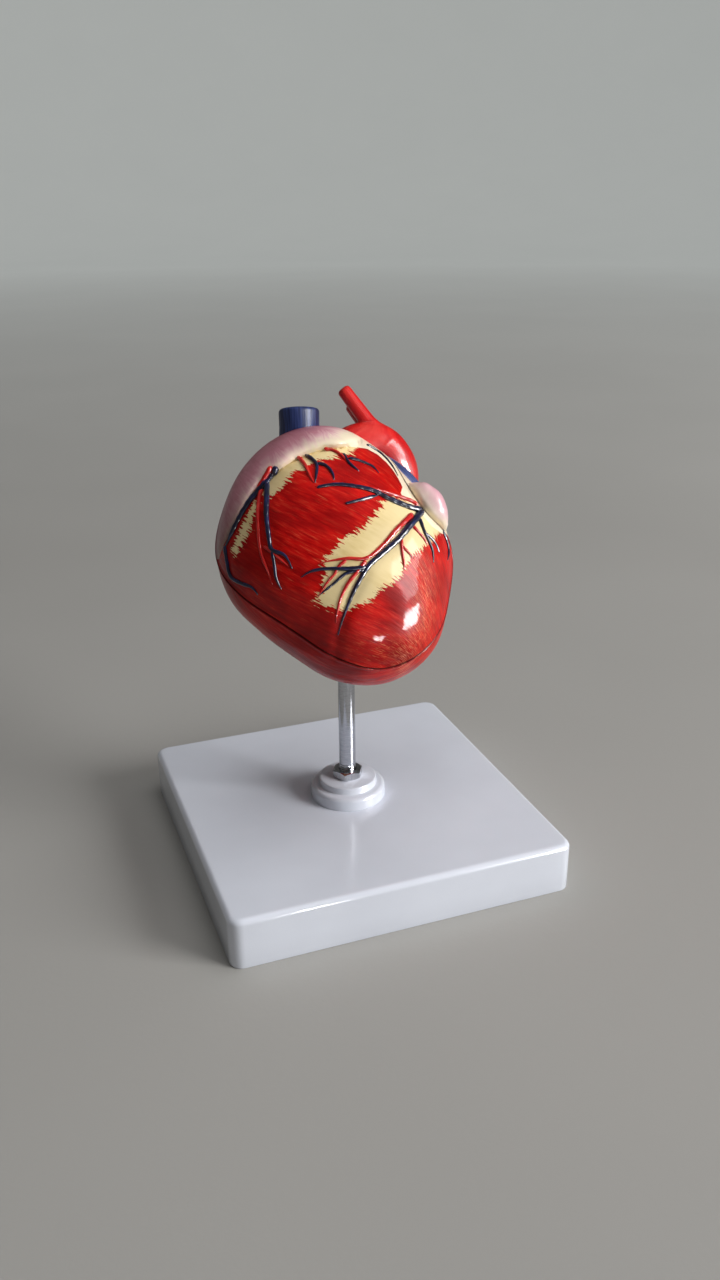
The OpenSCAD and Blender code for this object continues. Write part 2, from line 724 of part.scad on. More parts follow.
// Coronary vessels lie along the skin, let in by the inlay. Each row: width at its start and
// at its end as shares of the widest, then its course as shares of the half width and height.
front_vein_shares = [
    [.95, .5, [[-.46, .62], [-.54, .51], [-.7, .35], [-.84, .14], [-.92, .02]]],
    [.75, .4, [[-.54, .51], [-.54, .25], [-.5, .02], [-.4, -.02], [-.34, -.12]]],
    [.45, .3, [[-.5, .02], [-.47, -.16], [-.43, -.26]]],
    [.5, .45, [[-.9, .05], [-.86, -.12], [-.76, -.2], [-.66, -.24]]],
    [.6, .3, [[-.25, .71], [-.16, .63], [-.14, .55], [-.16, .48]]],
    [.5, .3, [[-.15, .63], [-.05, .59], [-.01, .5]]],
    [.5, .3, [[.05, .71], [.11, .63], [.19, .57]]],
    [.4, .25, [[.09, .67], [.21, .65], [.35, .56]]],
    [.4, .8, [[-.15, .45], [.01, .47], [.19, .45], [.42, .37], [.65, .3]]],
    [.35, .5, [[.07, .33], [.22, .37], [.35, .4]]],
    [.9, .35, [[.66, .28], [.48, .08], [.24, -.11], [.08, -.38], [0, -.59]]],
    [.6, .3, [[.26, -.1], [.02, -.12], [-.28, -.18]]],
    [.5, .25, [[.2, -.14], [-.02, -.22], [-.15, -.31]]],
    [.5, .3, [[.66, .2], [.7, .12], [.76, .01], [.77, -.09]]],
    [.4, .25, [[.7, .13], [.78, .07], [.82, -.02]]],
];
front_artery_shares = [
    [.9, .6, [[-.49, .63], [-.56, .54], [-.66, .42], [-.78, .24]]],
    [.8, .4, [[-.57, .46], [-.61, .22], [-.59, .01], [-.5, -.23]]],
    [.6, .35, [[-.58, .05], [-.47, -.02], [-.37, -.1]]],
    [.8, .4, [[-.3, .69], [-.23, .6], [-.17, .49]]],
    [.8, .4, [[-.09, .75], [0, .72], [.1, .63]]],
    [.5, .8, [[.26, .45], [.43, .41], [.6, .35]]],
    [1, .4, [[.61, .27], [.46, .14], [.23, -.05], [-.14, -.09]]],
    [.7, .35, [[.22, -.06], [.08, -.23], [0, -.42], [-.01, -.5]]],
    [.6, .3, [[.08, -.06], [-.02, -.16], [-.15, -.32]]],
    [.6, .4, [[.51, .09], [.51, -.02], [.53, -.14]]],
    [.5, .3, [[.51, .04], [.61, -.06]]],
    [.6, .4, [[.59, .19], [.66, .12], [.72, .04]]],
];
back_vein_shares = [
    [1, 1.1, [[.9, -.02], [.75, -.1], [.5, -.14], [.2, -.18], [-.1, -.2], [-.34, -.16]]],
    [.8, .35, [[-.2, -.2], [-.24, -.45], [-.2, -.7], [-.1, -.86]]],
    [.6, .3, [[.3, -.17], [.36, -.4], [.33, -.62], [.26, -.78]]],
    [.5, .3, [[.62, -.13], [.66, -.3], [.6, -.5]]],
];
back_artery_shares = [
    [.9, .5, [[-.84, -.3], [-.68, -.46], [-.46, -.42], [-.28, -.3]]],
    [.9, .35, [[-.3, -.27], [-.31, -.5], [-.26, -.72], [-.17, -.86]]],
    [.8, .4, [[.88, -.12], [.7, -.2], [.46, -.24], [.44, -.45], [.4, -.66]]],
    [.6, .3, [[-.62, -.46], [-.52, -.6], [-.38, -.72]]],
];
vessel_sides = 6;
lift_share = .2;
module coronary(row, d, side) {
    shares = row[2];
    n = 2*(len(shares) - 1);
    place = [for (k = [0:n]) along(shares, k/2)];
    middle = [for (p = place) spot(p, side)];
    up = [for (p = place) spot_normal(p, side)];
    rings = [for (k = [0:n])
        let(r = d/2*mix(row[0], row[1], k/n), d = unit(middle[min(n, k + 1)] - middle[max(0, k - 1)]),
            across = unit(cross(d, up[k])))
        [for (j = [0:vessel_sides - 1]) let(b = 360*j/vessel_sides)
            middle[k] + across*r*cos(b) + up[k]*max(-inlay, r*(sin(b) + lift_share))]];
    closed_mesh(middle[0], rings, middle[n]);
}
module front_veins() {
    color("midnightblue") in_heart() for (row = front_vein_shares) coronary(row, vein_d, 1);
}
module front_arteries() {
    color("red") in_heart() for (row = front_artery_shares) coronary(row, artery_d, 1);
}
module back_veins() {
    color("midnightblue") in_heart() for (row = back_vein_shares) coronary(row, vein_d, -1);
}
module back_arteries() {
    color("red") in_heart() for (row = back_artery_shares) coronary(row, artery_d, -1);
}

base_plate();
rod_flange();
stand_rod();
top_nut();
under_washer();
under_nut();
swivel_sleeve();
rod_socket();
heart_back();
left_auricle();
septum();
atrial_septum();
valve_plate();
tricuspid_valve();
mitral_valve();
aortic_valve();
pulmonary_valve();
papillary_muscles();
tendon_strings();
aorta();
pulmonary_trunk();
upper_vena_cava();
lower_vena_cava();
pulmonary_veins();
back_arteries();
back_veins();
front_wall();
front_arteries();
front_veins();
locating_pegs();
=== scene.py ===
# %% [markdown]
# # A heart model on its stand
# This lesson dresses a painted teaching model of a heart. The packed model gives the solids
# and the bodies that move. Every surface gets its finer shape and its paint here.

# %% Load the packed model
import math
import bmesh
import bpy
import numpy as np
from mathutils import Matrix, Vector


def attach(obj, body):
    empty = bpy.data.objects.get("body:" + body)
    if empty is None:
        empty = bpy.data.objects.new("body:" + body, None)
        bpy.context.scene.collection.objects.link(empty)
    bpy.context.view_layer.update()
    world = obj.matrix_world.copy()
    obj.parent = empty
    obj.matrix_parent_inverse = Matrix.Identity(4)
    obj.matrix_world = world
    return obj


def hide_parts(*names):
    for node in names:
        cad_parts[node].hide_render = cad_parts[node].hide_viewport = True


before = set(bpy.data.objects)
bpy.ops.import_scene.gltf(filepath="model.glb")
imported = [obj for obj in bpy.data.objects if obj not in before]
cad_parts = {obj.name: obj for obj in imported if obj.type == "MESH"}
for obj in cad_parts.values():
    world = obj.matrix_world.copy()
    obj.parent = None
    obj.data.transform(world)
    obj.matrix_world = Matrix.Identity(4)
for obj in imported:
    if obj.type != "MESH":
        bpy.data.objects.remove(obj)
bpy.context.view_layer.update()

# %% [markdown]
# ## The camera
# It stands where the photographer stood, a little above the heart and to its left, and looks
# down by about 23 degrees. A wide lens close by gives the strong perspective of the base.

# %% Camera
camera = bpy.data.objects.new("camera", bpy.data.cameras.new("camera"))
bpy.context.scene.collection.objects.link(camera)
camera.location = (-.1549, -.44027, .30312)
camera.rotation_euler = [math.radians(v) for v in (67.01, .52, -20.422)]
camera.data.lens = 30.84
camera.data.sensor_width = 36
bpy.context.scene.camera = camera
print("camera", [round(v, 3) for v in camera.location])

# %% [markdown]
# ## The heart's form
# The real heart is a cast shell like a leaning egg. It could be sculpted, but the CAD model
# draws it with a few smooth functions, and the same functions give a finer mesh that fits the
# solids exactly. An angle goes round the heart's own axis. Sixteen shares of the half width
# and half height shape its outline, and sixteen more say where the seam runs.

# %% Outline and seam
HALF_W, HALF_H, FRONT, BACK, APEX, WALL = .053, .059, .043, .041, .006, .006
OUTLINE = np.array([.96, .91, .83, .86, .96, 1.01, 1.02, 1.01, 1.01, .96, .87, .86, .96, 1.06, 1.08, .99])
SEAM = np.array([.90, .65, .73, .97, 1, 1, 1, .99, .88, .66, .57, .55, .57, .66, .75, .90])
SEAM_GAP = .0003


def between(a, b, c, d, g):
    """A smooth way from b to c at share g, where a and d are the neighbours outside."""
    return b + g*(c - a)/2 + g*g*(2*a - 5*b + 4*c - d)/2 + g**3*(3*(b - c) + d - a)/2


def pick(values, x):
    i = np.floor(x).astype(int)
    return between(*(values[(i + k) % len(values)] for k in (-1, 0, 1, 2)), x - i)


def limb(a):
    c, s = np.cos(np.radians(a)), np.sin(np.radians(a))
    return pick(OUTLINE, a*16/360)/np.hypot(c/HALF_W, s/HALF_H)


def seam(a):
    return np.minimum(1, pick(SEAM, a*16/360))


print("limb radius in millimetres:", np.round(1000*limb(np.arange(0, 360, 45.)), 1))

# %% [markdown]
# In each direction, t runs from 0 in the middle of the front over 1 at the limb to 2 in the
# middle of the back. Places on the heart are given as shares of its half width and height.


# %% Points of the plain form
def plain(a, t, inset=0.0):
    """Points of the heart's plain form in its own axes."""
    a, t = np.broadcast_arrays(np.asarray(a, float), np.asarray(t, float))
    s = np.sin(np.pi/2*t)
    r = s*(limb(a) - inset)
    x, y = r*np.cos(np.radians(a)), r*np.sin(np.radians(a))
    depth = np.where(t < 1, FRONT - inset, inset - BACK)
    return np.stack([x, y, depth*np.sqrt(np.clip(1 - s**2.3, 0, None)) - APEX*y/HALF_H], -1)


def angle_of(x, y):
    return np.degrees(np.arctan2(y, x)) % 360


def angles_of(shares, side):
    """Angle and t of places on the front (side 1) or the back (side -1)."""
    x, y = np.moveaxis(np.asarray(shares, float)*[HALF_W, HALF_H], -1, 0)
    a = angle_of(x, y)
    t = np.arcsin(np.minimum(.985, np.hypot(x, y)/limb(a)))*2/np.pi
    return a, (t if side > 0 else 2 - t)


print("front and back stand off in millimetres:", np.round(1000*plain(0, [0, 2])[:, 2], 1))

# %% [markdown]
# The heart leans back and is turned a little on its rod. One matrix takes points from the
# heart's own axes to the stand's axes, and its inverse takes them back.

# %% The heart's place
TURN = np.array(Matrix.Translation((0, 0, .147)) @ Matrix.Rotation(math.radians(-19.4), 4, "Z")
                @ Matrix.Translation((-.0032, 0, 0)) @ Matrix.Rotation(math.radians(70), 4, "X"))


def to_stand(points):
    return np.asarray(points) @ TURN[:3, :3].T + TURN[:3, 3]


def to_heart(points):
    return (np.asarray(points) - TURN[:3, 3]) @ TURN[:3, :3]


print("the heart's lower end stands at", np.round(to_stand([0, -HALF_H, 0]), 3))

# %% [markdown]
# ## Regions of paint
# On the real model the atria, the fat and the muscle are painted areas that meet along torn
# edges. An image could hold them, but a distance to an outline cuts a crisp edge at any zoom,
# however coarse the mesh is. Each outline is a chain of places, here in percent.


# %% Outlines of the atria
def places(text):
    return [[float(v)/100 for v in pair.split()] for pair in text.split(",")]


TIP_EDGE = places("30 105, 27 93, 24 86, 19 80")
ATRIUM_EDGE = places("12 76.5, 2 75, -9 74, -19 71.5, -31 67, -41 61, -50 57, -57 51, -69 38, -80 23, "
                     "-90 9, -97 -3")
RIM_EDGE = places("52 42, 54 47, 51 53, 47 60, 42 66, 35 72, 26 76")
APRON_EDGE = places("160 12, 95 12, 86 13, 77 18, 65 30, 54 38")
BACK_EDGE = places("-160 -3, -97 -3, -70 -10, -34 -13, -10 -16, 20 -14, 50 -10, 75 -2, 93 10, 160 12")
LOBE = TIP_EDGE + ATRIUM_EDGE + places("-160 -3, -160 160, 30 160")
ATRIA = [(1, APRON_EDGE + RIM_EDGE + ATRIUM_EDGE + places("-160 -3, -160 160, 160 160")),
         (-1, BACK_EDGE + places("160 160, -160 160"))]
print("the atria's outlines have", sum(len(line) for _, line in ATRIA), "places")

# %% [markdown]
# The cream fat lies along the vessels, in three areas in front and one behind.

# %% Outlines of the fat
FAT = [(side, places(text)) for side, text in (
    (1, "36 36, 50 38.5, 70 33, 82 19, 84 14, 76 7, 68 1, 60 -3, 54 -10, 49 -19, 36 -25, 27 -34, 8 -41, "
     "-9 -39, -18 -33, -12 -27, -8 -14, -10 -8, -1 2, 5 10, 15 13, 25 21, 35 31"),
    (1, "12 70, 1 68, -14 65, -27 58, -34 56, -40 47, -50 40, -60 42, -66 45, -50 64, -30 73, 0 80, "
     "20 80"),
    (1, "-64 38, -62 34, -68 15, -81 -2, -84 4, -75 20"),
    (-1, "98 -2, 90 -14, 75 -20, 50 -25, 36 -34, 26 -26, 10 -27, -8 -30, -10 -50, -9 -70, -12 -86, "
     "-20 -84, -28 -60, -32 -36, -50 -34, -70 -28, -92 -14, -98 2, -34 0, 20 0, 90 14"),
)]
print("areas of fat:", len(FAT))

# %% [markdown]
# The distance to an outline is plus inside and minus outside. A chain is laid on the plain
# form first, so that the distances are real millimetres on the curved skin.


# %% Distance to a chain
def chain(shares, side, closed=False):
    """3-D points along an outline on the plain form."""
    p = np.array(shares + shares[:1] if closed else shares, float)
    fine = [np.linspace(start, end, 3, endpoint=False) for start, end in zip(p[:-1], p[1:])]
    return plain(*angles_of(np.concatenate(fine + [p[-1:]]), side))


def nearest(points, line):
    """Distance of each point to a chain, and how far along the chain the nearest place is."""
    best, place, run = np.full(len(points), 9.), np.zeros(len(points)), 0.
    for p, q in zip(line[:-1], line[1:]):
        d = q - p
        long = max(float(np.linalg.norm(d)), 1e-9)
        f = np.clip((points - p) @ d/long**2, 0, 1)
        gap = np.linalg.norm(points - p - f[:, None]*d, axis=1)
        closer = gap < best
        best = np.where(closer, gap, best)
        place = np.where(closer, run + f*long, place)
        run += long
    return best, place


EDGE_FRONT = chain(TIP_EDGE + ATRIUM_EDGE, 1)
print("atrium's edge is", round(1000*nearest(EDGE_FRONT[-1:], EDGE_FRONT)[1][0], 1), "mm long")

# %% [markdown]
# A line from a point to one side crosses the outline an odd number of times if the point is
# inside. That test gives the distance its sign.


# %% Inside or outside
def shares_of(points):
    return points[:, 0]/HALF_W, points[:, 1]/HALF_H


def inside(u, v, outline):
    hit = np.zeros(len(u), bool)
    for (x0, y0), (x1, y1) in zip(outline, outline[1:] + outline[:1]):
        if y0 != y1:
            hit ^= ((y0 > v) != (y1 > v)) & (u < x0 + (v - y0)*(x1 - x0)/(y1 - y0))
    return hit


def signed(points, front, regions, lines):
    """Distance to the nearest outline in millimetres, plus inside and minus outside."""
    is_in = np.zeros(len(points), bool)
    for side, outline in regions:
        is_in |= inside(*shares_of(points), outline) & (front == (side > 0))
    far = np.min([nearest(points, line)[0] for line in lines], axis=0)
    return np.where(is_in, far, -far)*1000


ATRIA_LINES = [chain(ATRIUM_EDGE, 1), chain(APRON_EDGE[1:] + RIM_EDGE + ATRIUM_EDGE[:1], 1),
               chain(BACK_EDGE[1:-1], -1)]
FAT_LINES = [chain(outline, side, closed=True) for side, outline in FAT]
depth = signed(plain([90., 270.], [.9, .9]), np.array([True, True]), ATRIA, ATRIA_LINES)
print("the heart's top and foot lie", np.round(depth, 1), "mm inside the atria")

# %% [markdown]
# ## Relief
# A cast heart isn't a smooth egg. The atrium's lobe ends in a crease, the vessels lie in
# shallow grooves, and the modeller's hand leaves slow waves. Sculpting would do, but sums of
# smooth bumps keep the seam exact, because each fades out before it. A groove has its side,
# depth and width in millimetres and its course.

# %% Grooves
GROOVES = [(side, deep, wide, chain(places(text), side)) for side, deep, wide, text in (
    (1, .9, 2.6, "66 28, 48 8, 24 -11, 8 -38, 0 -59, -2 -75"),
    (-1, .8, 3, "-20 -20, -24 -45, -20 -70, -10 -86"),
    (-1, 1.2, 3, "90 -2, 75 -8, 50 -13, 20 -17, -10 -19, -50 -17, -90 -6"),
    (-1, 1.5, 2.6, "-36 -10, -44 12, -48 34, -42 56, -24 74, 0 86"),
    (-1, .6, 4, "10 -2, 16 20, 16 42, 10 60"),
)]
print("grooves:", len(GROOVES))

# %% [markdown]
# The skin is the plain form, pushed out and in by the lobe, the waves and the grooves.


# %% Skin with relief
def smooth(x):
    c = np.clip(x, 0, 1)
    return c*c*(3 - 2*c)


def lobe_height(p, s):
    """Height in millimetres of the right atrium's lobe and of the swelling at the apex."""
    u, v = shares_of(p)
    d = np.where(inside(u, v, LOBE), 1, -1)*nearest(p, EDGE_FRONT)[0]*1000
    wide, deep = np.interp(u, [-.25, .12], [7.5, 4.2]), np.interp(u, [-.25, .1], [.9, 1.4])
    lobe = 5*(1 - (1 - np.clip((d + .5)/wide, 0, 1))**2.4) - deep*np.exp(-((d + .3)/1.1)**2)
    apex = np.hypot(p[:, 0] - .58*HALF_W, p[:, 1] + .68*HALF_H)/(.24*HALF_W)
    return lobe*(1 - s**np.interp(u, [-.3, .1], [8, 24])) + 1.5*np.exp(-apex**2)*(1 - s**8)


def skin(a, t):
    """Points of the skin: the plain form, the two atria's lobes, creases and waves."""
    a, t = (np.ravel(v).astype(float) for v in np.broadcast_arrays(a, t))
    p, s, front = plain(a, t), np.sin(np.pi/2*t), t < 1
    left = np.hypot(p[:, 0] - .14*HALF_W, p[:, 1] - .38*HALF_H)
    swell = -4*smooth((.62*HALF_W - left)/(.24*HALF_W))
    waves = np.sin(210*p[:, 0] + 1.3*np.sin(160*p[:, 1])) + np.sin(250*p[:, 1] + 130*p[:, 0] + 2*front)
    waves *= .22*(1 - s**12)
    dip = 0
    for side, deep, wide, line in GROOVES:
        dip = dip + (front == (side > 0))*deep*np.exp(-(nearest(p, line)[0]*1000/wide)**2)
    p[:, 2] += np.where(front, lobe_height(p, s) + waves - dip, swell - waves + dip)/1000
    return p


print("front's middle with relief:", np.round(1000*skin(0, 0)[0], 1))

# %% [markdown]
# ## A short way to write paints
# Every paint is a Principled shader with a few noise nodes before it. Written out, each node
# takes several lines, so a small class adds and links nodes. Values that are the same
# everywhere are set on the shader itself.


# %% Nodes
def rgb(*byte):
    """A colour as it looks on screen, turned into the shader's linear values."""
    lin = [(v/255/12.92 if v/255 <= .04045 else ((v/255 + .055)/1.055)**2.4) for v in byte]
    return (*lin, 1)


def tint(value):
    """Three bytes become a colour, and anything else stays as it is."""
    return rgb(*value) if isinstance(value, tuple) and len(value) == 3 else value


class Nodes:
    def __init__(self, tree):
        self.tree = tree

    def put(self, socket, value):
        if isinstance(value, bpy.types.NodeSocket):
            self.tree.links.new(value, socket)
        else:
            socket.default_value = value

    def node(self, kind, inputs=(), **settings):
        n = self.tree.nodes.new(kind)
        for key, value in settings.items():
            setattr(n, key, value)
        for key, value in dict(inputs).items():
            self.put(n.inputs[key], value)
        return n

    def ramp(self, factor, stops, colours):
        n = self.node("ShaderNodeValToRGB", {"Fac": factor})
        while len(n.color_ramp.elements) < len(stops):
            n.color_ramp.elements.new(.5)
        for element, place, colour in zip(n.color_ramp.elements, stops, colours):
            element.position = place
            element.color = tint(colour) if np.ndim(colour) else (colour, colour, colour, 1)
        return n.outputs["Color"]


print("red, as the shader knows it:", np.round(rgb(212, 22, 16), 3))

# %% [markdown]
# Masks and colours are sums, products and mixtures of other values. A step turns a value into
# a mask between two limits, and a swing makes noise go both ways from nothing.


# %% Sums and mixtures
class Sums(Nodes):
    def step(self, factor, low, high, first=0., last=1.):
        return self.ramp(factor, (low, high), (first, last))

    def math(self, kind, *values):
        result = values[0]
        for value in values[1:]:
            result = self.node("ShaderNodeMath", {0: result, 1: value}, operation=kind).outputs[0]
        return result

    def plus(self, *values):
        return self.math("ADD", *values)

    def times(self, *values):
        return self.math("MULTIPLY", *values)

    def swing(self, noise, size):
        return self.times(self.math("SUBTRACT", noise, .5), size)

    def blend(self, fine, slow):
        return self.plus(self.times(fine, .6), self.times(slow, .4))

    def mix(self, factor, a, b):
        return self.node("ShaderNodeMix", {0: factor, 6: tint(a), 7: tint(b)}, data_type="RGBA").outputs[2]

    def lerp(self, factor, a, b):
        return self.node("ShaderNodeMix", {0: factor, 2: a, 3: b}, data_type="FLOAT").outputs[0]


print("mixtures:", [name for name in vars(Sums) if name[0] != "_"])

# %% [markdown]
# The paint itself adds values that are kept at the mesh's points, noise with so many waves to
# the metre, and a last call that gives the shader its colour, roughness and bump.


# %% Paint
class Paint(Sums):
    def __init__(self, name, roughness=.35, coat=0., coat_roughness=.1, metallic=0., specular=.5):
        self.material = bpy.data.materials.new(name)
        self.material.use_nodes = True
        super().__init__(self.material.node_tree)
        self.shader = self.tree.nodes["Principled BSDF"]
        for key, value in {"Roughness": roughness, "Coat Weight": coat, "Coat Roughness": coat_roughness,
                           "Metallic": metallic, "Specular IOR Level": specular}.items():
            self.shader.inputs[key].default_value = value

    def value(self, name, vector=False):
        n = self.node("ShaderNodeAttribute", attribute_name=name)
        return n.outputs["Vector" if vector else "Fac"]

    def moved(self, scale, vector=None):
        vector = vector or self.node("ShaderNodeTexCoord").outputs["Object"]
        scale = scale if np.ndim(scale) else (scale, scale, scale)
        return self.node("ShaderNodeMapping", {"Vector": vector, "Scale": scale}).outputs[0]

    def noise(self, scale, detail=3., vector=None, rough=.55):
        return self.node("ShaderNodeTexNoise", {"Vector": self.moved(scale, vector), "Scale": 1.,
                                                "Detail": detail, "Roughness": rough}).outputs["Fac"]

    def finish(self, colour, rough, height, distance, strength=1., coat=.35):
        """Gives the shader its colour, its roughness as (base, noise, share) and its bump."""
        self.put(self.shader.inputs["Base Color"], colour)
        if rough:
            self.put(self.shader.inputs["Roughness"], self.plus(rough[0], self.times(*rough[1:])))
        for key, share in (("Normal", 1), ("Coat Normal", coat)):
            n = self.node("ShaderNodeBump", {"Height": height, "Distance": distance,
                                             "Strength": strength*share})
            self.put(self.shader.inputs[key], n.outputs[0])
        return self.material


print("paint can", [name for name in vars(Paint) if name[0] != "_"])

# %% [markdown]
# ## The heart's paint
# Three colours of paint meet on the skin. The muscle is brushed in thin strokes that follow
# its fibres. A painter would draw each stroke. Noise that is stretched along the brush
# direction gives as many strokes as needed, and the mesh's points carry that direction.


# %% Brush strokes
class HeartPaint(Paint):
    def strokes(self, wide, long, detail=3.):
        """Noise in strokes whose width and length are in millimetres."""
        along_it = self.noise((1000/long, 1000/wide, 60), detail, self.value("stroke", True))
        at_limb = self.noise((1000/long, 1000/long, 1000/wide), detail, self.value("limb", True))
        return self.lerp(self.value("share"), along_it, at_limb)


def muscle(p, thin, mid, broad, cloud):
    red = p.ramp(mid, (.28, .42, .58, .72), [(160, 8, 10), (196, 14, 12), (212, 22, 16), (226, 48, 32)])
    red = p.mix(p.times(p.step(thin, .54, .72), p.step(broad, .4, .62, .08, .6)), red, (234, 92, 62))
    for noise, low, high, much, dark in ((thin, .28, .46, .35, (140, 6, 8)),
                                         (broad, .34, .54, .6, (138, 5, 8)),
                                         (cloud, .34, .54, .55, (122, 3, 6))):
        red = p.mix(p.times(p.step(noise, low, high, 1., 0.), much), red, dark)
    # Painted glints: pale hairs along the lit ridge and round the two highlights.
    for wide, low, high, name, light in ((.45, .5, .64, "ridge_glint", (238, 140, 104)),
                                         (.6, .56, .66, "highlight_glint", (232, 132, 84))):
        hair = p.times(p.step(p.strokes(wide, 5, 2.), low, high), p.value(name))
        red = p.mix(p.times(hair, .8), red, light)
    # Painted shade: the lower left and the underside are darkened towards maroon.
    return p.mix(p.times(p.value("painted_shade"), .45), red, (112, 4, 8))


print("thin strokes have", round(1000/7), "waves to the metre along and", round(1000/.8), "across")

# %% [markdown]
# The fat is cream, and its border has small teeth where the muscle's dark hairs run out. The
# atrium goes from cream at its crease to mauve, with brush marks across its edge. Both give
# a mask that is 1 inside, and their colour.


# %% Fat and atrium
def fat(p, mid, cloud):
    edge = p.value("fat")
    mask = p.step(p.plus(edge, p.swing(p.strokes(1.1, 7.5, 2.), 12.), .5), .45, .55)
    wash = p.mix(p.step(mid, .35, .65), (222, 196, 134), (238, 214, 158))
    cream = p.mix(p.step(cloud, .35, .65), wash, (242, 220, 168))
    hair = p.plus(p.swing(p.strokes(.36, 3.6, 2.), 22.), -2.2)
    hair = p.step(p.plus(p.math("SUBTRACT", hair, edge), .5), .4, .7)
    return mask, p.mix(p.times(hair, .75), cream, (122, 46, 32))


def atrium(p, cloud):
    edge = p.value("atrium")
    brush = p.node("ShaderNodeCombineXYZ", {0: edge, 1: p.value("run"), 2: 0.}).outputs[0]
    stir = p.times(p.step(p.math("DIVIDE", edge, 14.), 0., 1., .25, 1.), 24.)
    depth = p.plus(p.value("tone"), p.swing(p.noise((.08, 700, 1), 4., brush), stir))
    mauve = p.ramp(p.math("DIVIDE", depth, 30.), (.02, .14, .27, .45, 1.),
                   [(250, 234, 204), (250, 222, 206), (238, 188, 192), (218, 148, 162), (180, 104, 118)])
    mauve = p.mix(p.times(p.step(cloud, .35, .55, 1., 0.), .25), mauve, (150, 84, 100))
    # Painted shade: the atria's lower left is darkened towards brown.
    mauve = p.mix(p.times(p.value("painted_shade"), .7), mauve, (96, 40, 40))
    return p.step(p.plus(edge, .5), .35, .65), mauve


def heart_paint():
    p = HeartPaint("heart_paint", roughness=.4, coat=.26, coat_roughness=.04, specular=.07)
    thin, mid, broad, cloud = p.strokes(.8, 7, 2.), p.strokes(2.4, 13), p.strokes(9, 24, 2.), p.noise(42)
    (fat_on, cream), (atrium_on, mauve) = fat(p, mid, cloud), atrium(p, cloud)
    colour = p.mix(fat_on, muscle(p, thin, mid, broad, cloud), cream)
    colour = p.mix(atrium_on, colour, mauve)
    # Painted shade: the crease at the atrium's tip and the seam's rings are darkened.
    colour = p.mix(p.times(p.value("painted_crease_shade"), .8), colour, (52, 4, 6))
    ridge = p.plus(p.times(thin, .22), p.times(mid, .8))
    calm = p.lerp(p.math("MAXIMUM", fat_on, atrium_on), ridge, p.times(ridge, .3))
    return p.finish(colour, (.3, mid, .2), calm, .0004, .8, .3)


HEART_PAINT = heart_paint()
print("the heart's paint has", len(HEART_PAINT.node_tree.nodes), "nodes")

# %% [markdown]
# Inside, the lining is dark red with a net of low ridges, which a cell pattern gives. The
# sawn rim between the two halves shows the bare pink plastic.


# %% Lining and rim paints
def lining_paint():
    p = Paint("lining_paint", roughness=.42, coat=.2, coat_roughness=.2)
    web = p.node("ShaderNodeTexVoronoi", {"Vector": p.moved((150, 150, 90)), "Scale": 1.},
                 feature="SMOOTH_F1").outputs["Distance"]
    grain = p.noise((420, 420, 200))
    colour = p.mix(p.step(grain, .35, .65), (150, 32, 34), (196, 84, 76))
    return p.finish(colour, (.34, grain, .2), p.plus(web, p.times(grain, .3)), .0011, .7)


def rim_paint():
    p = Paint("rim_paint", roughness=.4, coat=.25, coat_roughness=.12, specular=.3)
    grain, cloud = p.noise((700, 700, 180)), p.noise(60, 2.)
    colour = p.ramp(p.blend(grain, cloud), (.38, .5, .62), [(176, 62, 54), (206, 96, 82), (224, 134, 114)])
    return p.finish(colour, (.3, cloud, .2), grain, .0002, .6)


LINING_PAINT, RIM_PAINT = lining_paint(), rim_paint()
print("paints:", HEART_PAINT.name, LINING_PAINT.name, RIM_PAINT.name)

# %% [markdown]
# ## From rings to pieces
# Nearly every piece is a stack of rings that are joined by quads, with a point at either
# end. A tube, a lathed knob and the heart's shells all come from this one function, which
# gives even meshes that the built-in primitives don't.


# %% Stacks of rings
def stack(rings, first=None, last=None, closed=False, start=0):
    """Vertices and faces over rings of equally many points, with a point at either end."""
    rings = [np.asarray(r, float) for r in rings]
    n, m = len(rings), len(rings[0])
    verts, faces = list(np.concatenate(rings)), []
    for i in range(n if closed else n - 1):
        for j in range(m):
            a, b = i*m + j, i*m + (j + 1) % m
            c, d = ((i + 1) % n)*m + (j + 1) % m, ((i + 1) % n)*m + j
            faces.append((start + a, start + b, start + c, start + d))
    for point, ring, flip in ((first, 0, 1), (last, n - 1, 0)):
        if point is not None:
            verts.append(np.asarray(point, float))
            end = start + len(verts) - 1
            for j in range(m):
                a, b = start + ring*m + j, start + ring*m + (j + 1) % m
                faces.append((end, b, a) if flip else (end, a, b))
    return verts, faces


def stacks(parts):
    """One mesh from several stacks, each of them rings with both end points."""
    verts, faces = [], []
    for rings, first, last in parts:
        more = stack(rings, first, last, start=len(verts))
        verts, faces = verts + more[0], faces + more[1]
    return verts, faces


print("two rings of four points are joined by", len(stack([np.eye(4, 3)]*2)[1]), "quads")

# %% [markdown]
# A piece rides on one of the CAD's bodies and replaces one of its nodes, which it hides, so it moves as
# that node does.


# %% Pieces
def raw_object(name, verts, faces, clean=True):
    """A mesh object. Cleaning joins equal points and turns all faces outwards."""
    mesh = bpy.data.meshes.new(name)
    mesh.from_pydata([tuple(v) for v in verts], [], faces)
    if clean:
        bm = bmesh.new()
        bm.from_mesh(mesh)
        bmesh.ops.remove_doubles(bm, verts=bm.verts, dist=1e-7)
        bmesh.ops.recalc_face_normals(bm, faces=bm.faces)
        bm.to_mesh(mesh)
        bm.free()
    obj = bpy.data.objects.new(name, mesh)
    bpy.context.scene.collection.objects.link(obj)
    return obj


def new_piece(name, verts, faces, body, slot, materials, nodes, smooth_angle=40):
    piece = raw_object(name, verts, faces)
    piece.data.shade_smooth()
    piece.data.set_sharp_from_angle(angle=math.radians(smooth_angle))
    for material in materials:
        piece.data.materials.append(material)
    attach(piece, body)
    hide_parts(*nodes)
    return piece


